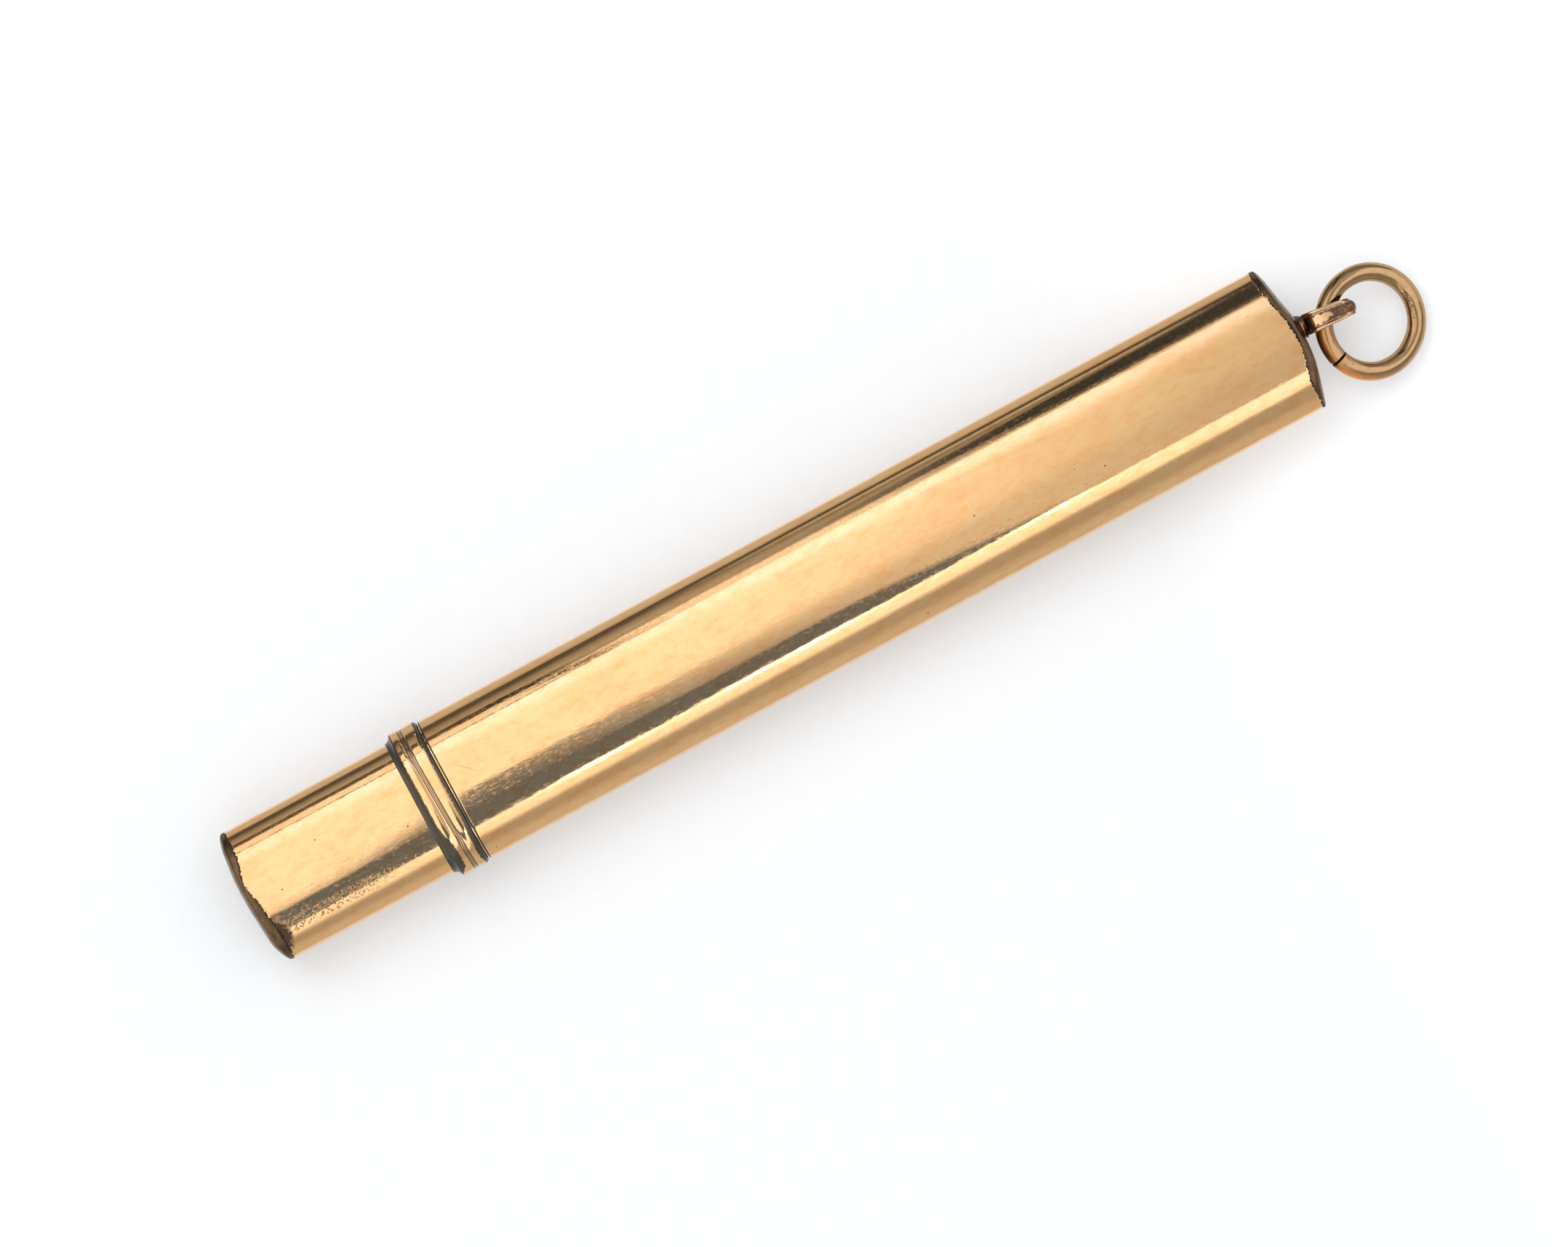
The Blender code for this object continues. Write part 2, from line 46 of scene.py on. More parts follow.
scene.view_settings.view_transform = "Standard"
print("frame loaded with", len(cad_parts), "nodes")

collarLow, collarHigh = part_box("stop_collar")
sheathLow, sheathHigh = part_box("sheath_tube")
barrelLow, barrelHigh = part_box("pencil_barrel")
mouthX = sheathLow.x
axisHeight = (collarLow.z + collarHigh.z) / 2  # the pencil's own long axis above the table

# The flat oval section: a barely crowned face, a shoulder and a round side, all tangent arcs
section = {
    "halfWidth": 5.15, "halfHeight": 2.6, "faceHalf": 1.6, "crown": 30.0, "side": 2.2,
    "steps": (28, 44, 34),
}


# Camera: straight above, turned so that the pencil rises to the right
view = {
    "height": 0.75, "pastMouth": 24.763, "lookY": -0.70, "turn": -28.38,
    "frameWidth": 104.6, "sensor": 36.0,
}


def makeCamera():
    lens = bpy.data.cameras.new("topCamera")
    lens.sensor_fit = "HORIZONTAL"
    lens.sensor_width = view["sensor"]
    lens.lens = view["sensor"] * view["height"] / (view["frameWidth"] * mm)
    lens.clip_start = 0.01
    rig = bpy.data.objects.new("topCamera", lens)
    lookX = collarHigh.x + view["pastMouth"] * mm
    rig.location = (lookX, view["lookY"] * mm, view["height"] + axisHeight)
    rig.rotation_euler = (0.0, 0.0, math.radians(view["turn"]))
    scene.collection.objects.link(rig)
    scene.camera = rig


makeCamera()
print("camera placed")


# Small helpers for node trees. A value is a plain one, or a socket to link
def addNode(tree, kind, settings=None, values=None):
    node = tree.nodes.new(kind)
    for key, value in (settings or {}).items():
        setattr(node, key, value)
    for key, value in (values or {}).items():
        if isinstance(value, bpy.types.NodeSocket):
            tree.links.new(value, node.inputs[key])
        else:
            node.inputs[key].default_value = value
    return node


def mixColour(tree, factor, first, second, blend="MIX"):
    settings = {"data_type": "RGBA", "blend_type": blend}
    return addNode(tree, "ShaderNodeMix", settings, {0: factor, 6: first, 7: second}).outputs[2]


def remap(tree, value, low, high, toLow=0.0, toHigh=1.0):
    values = {"Value": value, "From Min": low, "From Max": high, "To Min": toLow, "To Max": toHigh}
    node = addNode(tree, "ShaderNodeMapRange", {"interpolation_type": "SMOOTHSTEP"}, values)
    return node.outputs["Result"]


def fadeIn(tree, value, span):
    return remap(tree, value, *span)


def fadeOut(tree, value, span):
    return remap(tree, value, *span, 1.0, 0.0)


def compute(tree, operation, first, second):
    return addNode(tree, "ShaderNodeMath", {"operation": operation}, {0: first, 1: second}).outputs[0]


def vectorMath(tree, operation, *vectors):
    return addNode(tree, "ShaderNodeVectorMath", {"operation": operation}, dict(enumerate(vectors))).outputs


def newMaterial(name):
    material = bpy.data.materials.new(name)
    material.use_nodes = True
    tree = material.node_tree
    return material, tree, addNode(tree, "ShaderNodeTexCoord").outputs["Object"]


def rgba(colour):
    return (colour[0], colour[1], colour[2], 1.0)


def grey(level):
    return (level, level, level, 1.0)


def product(tree, *values):
    total = values[0]
    for value in values[1:]:
        total = compute(tree, "MULTIPLY", total, value)
    return total


# Table: pale paper that keeps the shadow
table = {
    "size": 1.6, "drop": 0.00002, "colour": (0.602, 0.614, 0.626), "rough": 0.9, "specular": 0.1,
    "fibre": 0.985, "fibreSize": 900.0, "fibreEdge": (0.3, 0.7),
    "glow": 0.27, "ringGlow": 0.10, "ringSide": (0.019, 0.034),
}


def makeTable():
    bm = bmesh.new()
    bmesh.ops.create_grid(bm, x_segments=8, y_segments=8, size=table["size"])
    bmesh.ops.translate(bm, verts=bm.verts[:], vec=(0.0, 0.0, -table["drop"]))
    mesh = bpy.data.meshes.new("table")
    bm.to_mesh(mesh)
    bm.free()
    top = bpy.data.objects.new("table", mesh)
    scene.collection.objects.link(top)

    material, tree, coords = newMaterial("palePaper")
    shader = tree.nodes["Principled BSDF"]
    shader.inputs["Roughness"].default_value = table["rough"]
    shader.inputs["Specular IOR Level"].default_value = table["specular"]
    grain = {"Vector": coords, "Scale": table["fibreSize"], "Detail": 3.0}
    grain = addNode(tree, "ShaderNodeTexNoise", None, grain).outputs["Fac"]
    fibre = fadeIn(tree, grain, table["fibreEdge"])
    darker = [part * table["fibre"] for part in table["colour"]]
    tone = mixColour(tree, fibre, rgba(darker), rgba(table["colour"]))
    tree.links.new(tone, shader.inputs["Base Color"])
    # the glow only counts for what looks at the table, so it stays pale and still takes the shadow
    rays = addNode(tree, "ShaderNodeLightPath").outputs
    seen = compute(tree, "MAXIMUM", rays["Is Camera Ray"], rays["Is Glossy Ray"])
    seen = compute(tree, "MAXIMUM", seen, rays["Is Transmission Ray"])
    place = addNode(tree, "ShaderNodeSeparateXYZ", None, {0: coords})
    # towards the ring the floor's glow rises, a painted light that thins the object's shadow on that side
    brightest = table["glow"] + table["ringGlow"]
    paler = remap(tree, place.outputs["X"], *table["ringSide"], table["glow"], brightest)
    shader.inputs["Emission Color"].default_value = (1.0, 1.0, 1.0, 1.0)
    tree.links.new(product(tree, seen, paler), shader.inputs["Emission Strength"])
    mesh.materials.append(material)


makeTable()


# Light: an even white world, a soft lamp over the upper edge, and a tent that only the metal mirrors
light = {"world": 1.0, "lampPower": 1.55, "lampSize": 0.5, "lampAt": (-0.12, 0.42, 0.55)}
tent = {
    "reach": 1.7,
    # outline across the pencil, from the upper apron over the ceiling to the lower one
    "outline": [
        (0.0072, 0.0006), (0.56, 0.0006), (0.56, 0.592), (0.506, 0.66),
        (-0.343, 0.66), (-0.46, 0.578), (-0.46, 0.0006), (-0.0076, 0.0006),
    ],
}


def makeWorld():
    world = bpy.data.worlds.new("studio")
    world.use_nodes = True
    back = world.node_tree.nodes["Background"]
    back.inputs["Color"].default_value = (1.0, 1.0, 1.0, 1.0)
    back.inputs["Strength"].default_value = light["world"]
    scene.world = world

    lamp = bpy.data.lights.new("softLamp", "AREA")
    lamp.energy = light["lampPower"]
    lamp.size = light["lampSize"]
    rig = bpy.data.objects.new("softLamp", lamp)
    rig.location = light["lampAt"]
    rig.rotation_euler = (-rig.location).to_track_quat("-Z", "Y").to_euler()
    rig.visible_glossy = False
    scene.collection.objects.link(rig)


def glowFinish(name, build):
    material, tree, coords = newMaterial(name)
    tree.nodes.remove(tree.nodes["Principled BSDF"])
    place = addNode(tree, "ShaderNodeSeparateXYZ", None, {0: coords})
    glow = addNode(tree, "ShaderNodeEmission", None, {"Color": build(tree, *place.outputs)})
    tree.links.new(glow.outputs[0], tree.nodes["Material Output"].inputs["Surface"])
    return material


# The tent's patterns. A pair of numbers is where a fade starts and where it ends
apron = {"near": 0.64, "far": 0.12, "fade": (0.008, 0.05)}


def apronGlow(tree, x, y, z):
    return mixColour(tree, fadeIn(tree, y, apron["fade"]), grey(apron["near"]), grey(apron["far"]))


def strokeAlong(tree, x, across, look):
    # a stroke about a slanting line, with soft edges and ends
    away = compute(tree, "SUBTRACT", across, remap(tree, x, *look["line"]))
    near = fadeOut(tree, compute(tree, "ABSOLUTE", away, 0.0), look["edge"])
    return product(tree, near, fadeIn(tree, x, look["start"]), fadeOut(tree, x, look["end"]))


panel = {
    "level": 1.15, "rightNear": 0.85, "rightFar": 0.12,
    "farFade": (0.506, 0.536), "rightStart": (0.006, 0.042),
    # a short dark stroke left of the middle that runs on from the wall
    "ink": 0.04, "stroke": {
        "line": (-0.0365, -0.0255, 0.562, 0.510), "edge": (0.018, 0.040), "start": (-0.039, -0.036),
        "end": (-0.028, -0.023),
    },
}


def panelGlow(tree, x, y, z):
    far = fadeIn(tree, y, panel["farFade"])
    right = mixColour(tree, far, grey(panel["rightNear"]), grey(panel["rightFar"]))
    level = mixColour(tree, fadeIn(tree, x, panel["rightStart"]), grey(panel["level"]), right)
    return mixColour(tree, strokeAlong(tree, x, y, panel["stroke"]), level, grey(panel["ink"]))


# Upper wall: rises from a dark foot, with a dark seam near its top on the left and all dark on the right
wall = {
    "foot": 0.11, "middle": 0.37, "top": 0.49, "footFade": (0.06, 0.30), "topFade": (0.30, 0.44),
    "panelFade": (0.552, 0.566), "dark": (0.048, 0.060, 0.076), "farEnd": (0.11, 0.20),
    "seam": 0.13, "seamLow": (0.452, 0.470), "seamHigh": (0.556, 0.574), "seamEnd": (-0.05, -0.03),
    # a dark wedge that widens to the right, below a gleam
    "wedgeLine": (0.008, 0.056, 0.42, 0.21), "wedgeEdge": (-0.07, 0.06), "wedgeStart": (-0.012, 0.036),
    "stroke": {
        "line": (-0.042, -0.0335, 0.500, 0.570), "edge": (0.050, 0.100), "start": (-0.052, -0.043),
        "end": (-0.034, -0.032),
    },
    "gleam": 0.52, "gleamLow": (0.03, 0.07), "gleamHigh": (0.13, 0.19), "gleamStart": (-0.02, 0.01),
    "rightStart": (0.046, 0.061), "rightShare": 0.95,
}


def wallGlow(tree, x, y, z):
    level = mixColour(tree, fadeIn(tree, z, wall["footFade"]), grey(wall["foot"]), grey(wall["middle"]))
    level = mixColour(tree, fadeIn(tree, z, wall["topFade"]), level, grey(wall["top"]))
    level = mixColour(tree, fadeIn(tree, z, wall["panelFade"]), level, grey(panel["level"]))
    seam = product(tree, fadeIn(tree, z, wall["seamLow"]), fadeOut(tree, z, wall["seamHigh"]))
    seam = product(tree, seam, fadeOut(tree, x, wall["seamEnd"]))
    level = mixColour(tree, seam, level, grey(wall["seam"]))
    end = fadeOut(tree, x, wall["farEnd"])
    over = compute(tree, "SUBTRACT", z, remap(tree, x, *wall["wedgeLine"]))
    wedge = product(tree, fadeIn(tree, x, wall["wedgeStart"]), fadeIn(tree, over, wall["wedgeEdge"]), end)
    level = mixColour(tree, wedge, level, rgba(wall["dark"]))
    level = mixColour(tree, strokeAlong(tree, x, z, wall["stroke"]), level, grey(panel["ink"]))
    gleam = product(tree, fadeIn(tree, z, wall["gleamLow"]), fadeOut(tree, z, wall["gleamHigh"]))
    gleam = product(tree, gleam, fadeIn(tree, x, wall["gleamStart"]))
    level = mixColour(tree, gleam, level, grey(wall["gleam"]))
    right = product(tree, fadeIn(tree, x, wall["rightStart"]), wall["rightShare"], end)
    return mixColour(tree, right, level, rgba(wall["dark"]))


# Bright strip along the lower border: its slanting edge, and four lamps on it
strip = {
    "glow": (1.54, 1.52, 1.66), "lowEnd": 1.30, "lowFade": (0.578, 0.66),
    "slant": 0.85, "edge": (-0.332, -0.318),
    "lamps": (-0.0347, -0.0106, -0.0001, 0.0331), "lampAt": 0.330, "lampGlow": 20.0,
    "lampHalf": (0.0018, 0.032), "lampEdge": (0.2, 1.0),
}


def stripFrom(tree, x, y, above, below):
    lower = compute(tree, "SUBTRACT", y, product(tree, x, strip["slant"]))
    level = mixColour(tree, fadeOut(tree, lower, strip["edge"]), above, below)
    high = product(tree, compute(tree, "ADD", lower, strip["lampAt"]), 1 / strip["lampHalf"][1])
    for spot in strip["lamps"]:
        across = product(tree, compute(tree, "SUBTRACT", x, spot), 1 / strip["lampHalf"][0])
        away = compute(tree, "ADD", product(tree, across, across), product(tree, high, high))
        level = mixColour(tree, fadeOut(tree, away, strip["lampEdge"]), level, grey(strip["lampGlow"]))
    return level


def stripGlow(tree, x, y, z):
    level = mixColour(tree, fadeIn(tree, z, strip["lowFade"]), grey(strip["lowEnd"]), rgba(strip["glow"]))
    return stripFrom(tree, x, y, rgba(ceiling["shade"]), level)


# Ceiling: bright on the left and dimmer to the right, with a hot border towards the wall
ceiling = {
    "bright": 1.33, "dim": 0.66, "slant": 0.10, "dimFade": (-0.03, 0.09),
    "hot": (0.22, 0.28, 0.62), "hotFade": (0.18, 0.40),
    "line": (0.34, 0.28, 0.24), "lineEdge": (0.482, 0.490), "lineEnd": (-0.03, 0.0),
    "border": 0.45, "borderEdge": (0.482, 0.506), "borderStart": (0.0, 0.04),
    # a faint slanting crease right of the middle
    "crease": 0.46, "creaseSlope": 11.3, "creaseAt": 0.535, "creaseEdge": (0.008, 0.034),
    "creaseShare": 0.4, "creaseStart": (0.014, 0.024), "creaseEnd": (0.034, 0.043),
    # a grey fall on the lower half, crisp on the left and soft on the right
    "crisp": (-0.026, -0.016), "soft": (-0.060, 0.010), "softer": (-0.045, 0.010),
    "fallStart": (-0.0545, -0.0515),
    "fallLeft": (0.29, 0.34, 0.42), "fallRight": (0.78, 0.77, 0.78), "rightFade": (-0.055, 0.022),
    "fallEnd": (0.58, 0.57, 0.58), "endFade": (0.03, 0.085),
    # a dark wedge below it, highest by the collar, that thins out to the right
    "shade": (0.158, 0.205, 0.285), "shadeRise": (-0.070, -0.058, 0.006, 0.034),
    "shadeSink": (-0.046, -0.013, 0.0, -0.034), "shadeEdge": (-0.115, -0.05), "shadeStart": (-0.10, -0.088),
    "shadeSlant": 0.149, "shadeEnd": (-0.0105, -0.004),
}


def creaseMask(tree, x, y):
    offset = compute(tree, "SUBTRACT", product(tree, x, ceiling["creaseSlope"]), ceiling["creaseAt"])
    away = compute(tree, "ABSOLUTE", compute(tree, "ADD", y, offset), 0.0)
    ends = product(tree, fadeIn(tree, x, ceiling["creaseStart"]), fadeOut(tree, x, ceiling["creaseEnd"]))
    return product(tree, fadeOut(tree, away, ceiling["creaseEdge"]), ends, ceiling["creaseShare"])


def fallMask(tree, x, y):
    fall = addNode(tree, "ShaderNodeMix", None, {
        0: fadeIn(tree, x, ceiling["softer"]), 2: fadeOut(tree, y, ceiling["crisp"]),
        3: fadeOut(tree, y, ceiling["soft"]),
    })
    return product(tree, fall.outputs[0], fadeIn(tree, x, ceiling["fallStart"]))


def shadeMask(tree, x, y):
    top = compute(tree, "ADD", remap(tree, x, *ceiling["shadeRise"]), remap(tree, x, *ceiling["shadeSink"]))
    skew = compute(tree, "ADD", x, product(tree, y, ceiling["shadeSlant"]))
    below = fadeOut(tree, compute(tree, "SUBTRACT", y, top), ceiling["shadeEdge"])
    below = product(tree, below, fadeOut(tree, skew, ceiling["shadeEnd"]))
    return product(tree, below, fadeIn(tree, x, ceiling["shadeStart"]))


def ceilingGlow(tree, x, y, z):
    along = compute(tree, "SUBTRACT", x, product(tree, y, ceiling["slant"]))
    dimmer = fadeIn(tree, along, ceiling["dimFade"])
    level = mixColour(tree, dimmer, grey(ceiling["bright"]), grey(ceiling["dim"]))
    level = mixColour(tree, fadeIn(tree, y, ceiling["hotFade"]), level, rgba(ceiling["hot"]), "ADD")
    line = product(tree, fadeIn(tree, y, ceiling["lineEdge"]), fadeOut(tree, x, ceiling["lineEnd"]))
    level = mixColour(tree, line, level, rgba(ceiling["line"]))
    border = product(tree, fadeIn(tree, y, ceiling["borderEdge"]), fadeIn(tree, x, ceiling["borderStart"]))
    level = mixColour(tree, border, level, grey(ceiling["border"]))
    level = mixColour(tree, creaseMask(tree, x, y), level, grey(ceiling["crease"]))
    fallen = fadeIn(tree, x, ceiling["rightFade"])
    fallen = mixColour(tree, fallen, rgba(ceiling["fallLeft"]), rgba(ceiling["fallRight"]))
    fallen = mixColour(tree, fadeIn(tree, x, ceiling["endFade"]), fallen, rgba(ceiling["fallEnd"]))
    level = mixColour(tree, fallMask(tree, x, y), level, fallen)
    level = mixColour(tree, shadeMask(tree, x, y), level, rgba(ceiling["shade"]))
    return stripFrom(tree, x, y, level, rgba(strip["glow"]))


lowWall = {
    "foot": 0.60, "middle": 0.47, "fade": (0.0, 0.25), "tilt": 0.65, "stripFade": (0.45, 0.60),
    "apronFade": (-0.10, -0.01),
}


def lowWallGlow(tree, x, y, z):
    rise = fadeIn(tree, z, lowWall["fade"])
    level = mixColour(tree, rise, grey(lowWall["foot"]), grey(lowWall["middle"]))
    high = compute(tree, "SUBTRACT", z, product(tree, x, lowWall["tilt"]))
    return mixColour(tree, fadeIn(tree, high, lowWall["stripFade"]), level, grey(strip["lowEnd"]))


def lowApronGlow(tree, x, y, z):
    nearer = fadeIn(tree, y, lowWall["apronFade"])
    return mixColour(tree, nearer, grey(lowWall["foot"]), grey(apron["near"]))


def makeTent():
    half = tent["reach"]
    line = tent["outline"]
    looks = {
        "apronShade": apronGlow, "upperWall": wallGlow, "slopingPanel": panelGlow,
        "ceilingCloth": ceilingGlow, "brightStrip": stripGlow, "lowerWall": lowWallGlow,
        "lowerApron": lowApronGlow,
    }
    bm = bmesh.new()
    last = bm.verts.new((-half, line[0][0], line[0][1]))
    strips = []
    for y, z in line[1:]:
        made = bmesh.ops.extrude_vert_indiv(bm, verts=[last])
        last = made["verts"][0]
        last.co = (-half, y, z)
        strips.append(made["edges"][0])
    for index, edge in enumerate(strips):
        made = bmesh.ops.extrude_edge_only(bm, edges=[edge])["geom"]
        corners = [item for item in made if isinstance(item, bmesh.types.BMVert)]
        bmesh.ops.translate(bm, verts=corners, vec=(2 * half, 0.0, 0.0))
        for item in made:
            if isinstance(item, bmesh.types.BMFace):
                item.material_index = index
    mesh = bpy.data.meshes.new("lightTent")
    bm.to_mesh(mesh)
    bm.free()
    for name, build in looks.items():
        mesh.materials.append(glowFinish(name, build))
    cloth = bpy.data.objects.new("lightTent", mesh)
    cloth.visible_camera = False
    cloth.visible_diffuse = False
    cloth.visible_transmission = False
    cloth.visible_shadow = False
    scene.collection.objects.link(cloth)


makeWorld()
makeTent()
print("table, lamp and tent made")


# Shared surface effects, each one node group
effects = {
    "streaks": {"turn": 0.035, "low": 0.78, "lowered": 0.4, "high": 0.82},
    "lines": {"Scale": 1.0, "Detail": 3.0, "Roughness": 0.62},
    "patches": (0.40, 0.70), "clouds": {"Detail": 5.0, "Roughness": 0.6, "Distortion": 0.4},
    "pits": {"least": 0.08, "more": 0.14, "edge": (0.0, 0.07)},
    "stain": {"held": (0.0, 0.12), "edge": (0.22, 0.68)}, "rags": {"Detail": 4.0, "Roughness": 0.65},
    "mark": (0.6, 1.0),
}


def newGroup(name, vectors, numbers, results):
    tree = bpy.data.node_groups.new(name, "ShaderNodeTree")
    sockets = [(label, "INPUT", "NodeSocketVector") for label in vectors]
    sockets += [(label, "INPUT", "NodeSocketFloat") for label in numbers]
    sockets += [(label, "OUTPUT", "NodeSocketFloat") for label in results]
    for label, side, kind in sockets:
        tree.interface.new_socket(name=label, in_out=side, socket_type=kind)
    return tree, addNode(tree, "NodeGroupInput").outputs


def endGroup(tree, results):
    addNode(tree, "NodeGroupOutput", None, results)
    return tree


def makeStreakGroup():
    # fine rubbing marks that run mostly along the pencil
    tree, given = newGroup("rubbedStreaks", ["Vector"], ["Along", "Across", "Share"], ["Streaks", "Height"])
    scales = {0: given["Along"], 1: given["Across"], 2: given["Across"]}
    scale = addNode(tree, "ShaderNodeCombineXYZ", None, scales).outputs[0]
    look = effects["streaks"]
    heading = {"Vector": given["Vector"], "Angle": look["turn"]}
    turned = addNode(tree, "ShaderNodeVectorRotate", {"rotation_type": "Z_AXIS"}, heading).outputs[0]
    lines = {"Vector": vectorMath(tree, "MULTIPLY", turned, scale)[0], **effects["lines"]}
    height = addNode(tree, "ShaderNodeTexNoise", None, lines).outputs["Fac"]
    low = compute(tree, "SUBTRACT", look["low"], product(tree, given["Share"], look["lowered"]))
    return endGroup(tree, {"Streaks": remap(tree, height, low, look["high"]), "Height": height})


def makeMottleGroup():
    # cloudy warm patches in old rolled gold
    tree, given = newGroup("cloudyPatches", ["Vector"], ["Size"], ["Patches", "Height"])
    clouds = {"Vector": given["Vector"], "Scale": given["Size"], **effects["clouds"]}
    height = addNode(tree, "ShaderNodeTexNoise", None, clouds).outputs["Fac"]
    return endGroup(tree, {"Patches": fadeIn(tree, height, effects["patches"]), "Height": height})


def makePitGroup():
    # scattered small dark pits
    tree, given = newGroup("smallPits", ["Vector"], ["Size", "Share"], ["Pits"])
    spread = {"Vector": given["Vector"], "Scale": given["Size"]}
    cells = addNode(tree, "ShaderNodeTexVoronoi", {"feature": "F1"}, spread).outputs
    chance = addNode(tree, "ShaderNodeSeparateXYZ", None, {0: cells["Color"]}).outputs
    chosen = compute(tree, "LESS_THAN", chance["X"], given["Share"])
    look = effects["pits"]
    reach = compute(tree, "ADD", product(tree, chance["Y"], look["more"]), look["least"])
    spot = fadeIn(tree, compute(tree, "SUBTRACT", reach, cells["Distance"]), look["edge"])
    return endGroup(tree, {"Pits": product(tree, spot, chosen)})


def makeRaggedGroup():
    # a painted mask with a ragged border
    tree, given = newGroup("raggedBorder", ["Vector"], ["Mask", "Size", "Ragged"], ["Masked"])
    rags = {"Vector": given["Vector"], "Scale": given["Size"], **effects["rags"]}
    height = addNode(tree, "ShaderNodeTexNoise", None, rags).outputs["Fac"]
    # the noise from -1 to 1
    ragged = product(tree, compute(tree, "SUBTRACT", height, 0.5), 2.0, given["Ragged"])
    held = fadeIn(tree, given["Mask"], effects["stain"]["held"])
    total = compute(tree, "ADD", given["Mask"], product(tree, ragged, held))
    return endGroup(tree, {"Masked": fadeIn(tree, total, effects["stain"]["edge"])})


def makeMarkGroup():
    # one stroke on the upper side, given by its middle, its heading and its half sizes
    tree, given = newGroup("strokeMark", ["Vector", "Middle", "Sizes"], ["Heading"], ["Mark"])
    away = vectorMath(tree, "SUBTRACT", given["Vector"], given["Middle"])[0]
    heading = {"Vector": away, "Angle": given["Heading"]}
    turned = addNode(tree, "ShaderNodeVectorRotate", {"rotation_type": "Z_AXIS"}, heading).outputs[0]
    scaled = vectorMath(tree, "DIVIDE", turned, given["Sizes"])[0]
    reach = vectorMath(tree, "LENGTH", scaled)["Value"]
    return endGroup(tree, {"Mark": fadeOut(tree, reach, effects["mark"])})


groups = {
    "streaks": makeStreakGroup(), "mottle": makeMottleGroup(), "pits": makePitGroup(),
    "stain": makeRaggedGroup(), "mark": makeMarkGroup(),
}


def useGroup(tree, group, values):
    return addNode(tree, "ShaderNodeGroup", {"node_tree": groups[group]}, values).outputs


# Metal finishes: colours are linear, sizes are noise scales and hazes add roughness
plainMetal = {
    "fineShare": 0.3, "streakHaze": 0.08, "along": 2500.0, "across": 6500.0, "share": 0.5,
    "relief": 0.25, "grain": 0.2, "drawn": 1.0, "copperHaze": 0.0, "fleckHaze": 0.0, "marks": [],
}
finishes = {
    "rolledGold": {
        "metal": (0.93, 0.590, 0.288), "warm": (0.92, 0.465, 0.18), "copper": (0.40, 0.255, 0.14),
        "brown": (0.10, 0.062, 0.038), "deep": (0.075, 0.068, 0.05), "pit": (0.22, 0.11, 0.045),
        "patchSize": 470.0, "patchShare": 0.32, "patchHaze": 0.015, "fineShare": 0.52, "polish": 0.035,
        "streakHaze": 0.11, "along": 900.0, "across": 5600.0, "share": 0.62, "pitSize": 2600.0,
        "pitShare": 0.012, "relief": 0.34, "grain": 0.04, "drawn": 0.5, "fleckHaze": 0.11,
        # place from the mouth, place across, heading, half length and half width, darkness
        "marks": [(-3.74, -0.69, 0.0, 0.09, 0.08, 1.0), (-4.20, 3.67, 0.0, 0.09, 0.07, 0.9),
                  (1.615, 0.858, 43.6, 1.05, 0.05, 0.4)],
    },
    "satinRingGold": {
        # the copper colour is bright: copper, and also a painted reflection on the outside by the split
        "metal": (0.455, 0.284, 0.141), "warm": (0.37, 0.213, 0.095), "copper": (0.85, 0.36, 0.10),
        "brown": (0.13, 0.075, 0.036), "deep": (0.035, 0.022, 0.014), "pit": (0.10, 0.055, 0.025),
        "patchSize": 900.0, "patchShare": 0.5, "patchHaze": 0.04, "polish": 0.13, "pitSize": 3200.0,
        "pitShare": 0.08, "copperHaze": 0.32,
    },
    "wornEyeGold": {
        "metal": (0.80, 0.55, 0.30), "warm": (0.70, 0.40, 0.19), "copper": (0.50, 0.24, 0.11),
        "brown": (0.15, 0.085, 0.05), "deep": (0.04, 0.025, 0.016), "pit": (0.12, 0.065, 0.03),
        "patchSize": 1100.0, "patchShare": 0.5, "patchHaze": 0.06, "polish": 0.16, "pitSize": 3200.0,
        "pitShare": 0.10,
    },
    "brownTarnish": {
        "metal": (0.165, 0.102, 0.054), "warm": (0.105, 0.062, 0.032), "copper": (0.40, 0.25, 0.13),
        "brown": (0.08, 0.046, 0.026), "deep": (0.022, 0.015, 0.010), "pit": (0.05, 0.03, 0.02),
        "patchSize": 1300.0, "patchShare": 0.6, "patchHaze": 0.12, "polish": 0.26, "streakHaze": 0.10,
        "across": 5000.0, "share": 0.45, "pitSize": 3000.0, "pitShare": 0.16, "relief": 0.45,
        "grain": 0.4,
    },
    "turnedBrass": {
        "metal": (0.78, 0.57, 0.27), "warm": (0.70, 0.47, 0.19), "copper": (0.6, 0.36, 0.16),
        "brown": (0.20, 0.13, 0.06), "deep": (0.05, 0.035, 0.02), "pit": (0.15, 0.10, 0.05),
        "patchSize": 700.0, "patchShare": 0.4, "patchHaze": 0.08, "fineShare": 0.2, "polish": 0.22,
        "streakHaze": 0.12, "along": 9000.0, "across": 500.0, "pitSize": 3000.0, "pitShare": 0.04,
        "grain": 0.15,
    },
    "drawnSteel": {
        "metal": (0.46, 0.45, 0.43), "warm": (0.38, 0.36, 0.33), "copper": (0.35, 0.30, 0.25),
        "brown": (0.16, 0.12, 0.09), "deep": (0.04, 0.035, 0.03), "pit": (0.12, 0.10, 0.08),
        "patchSize": 900.0, "patchShare": 0.4, "patchHaze": 0.08, "fineShare": 0.2, "polish": 0.25,
        "streakHaze": 0.12, "along": 4000.0, "across": 4000.0, "pitSize": 3500.0, "pitShare": 0.05,
        "relief": 0.2, "grain": 0.15,
    },
}
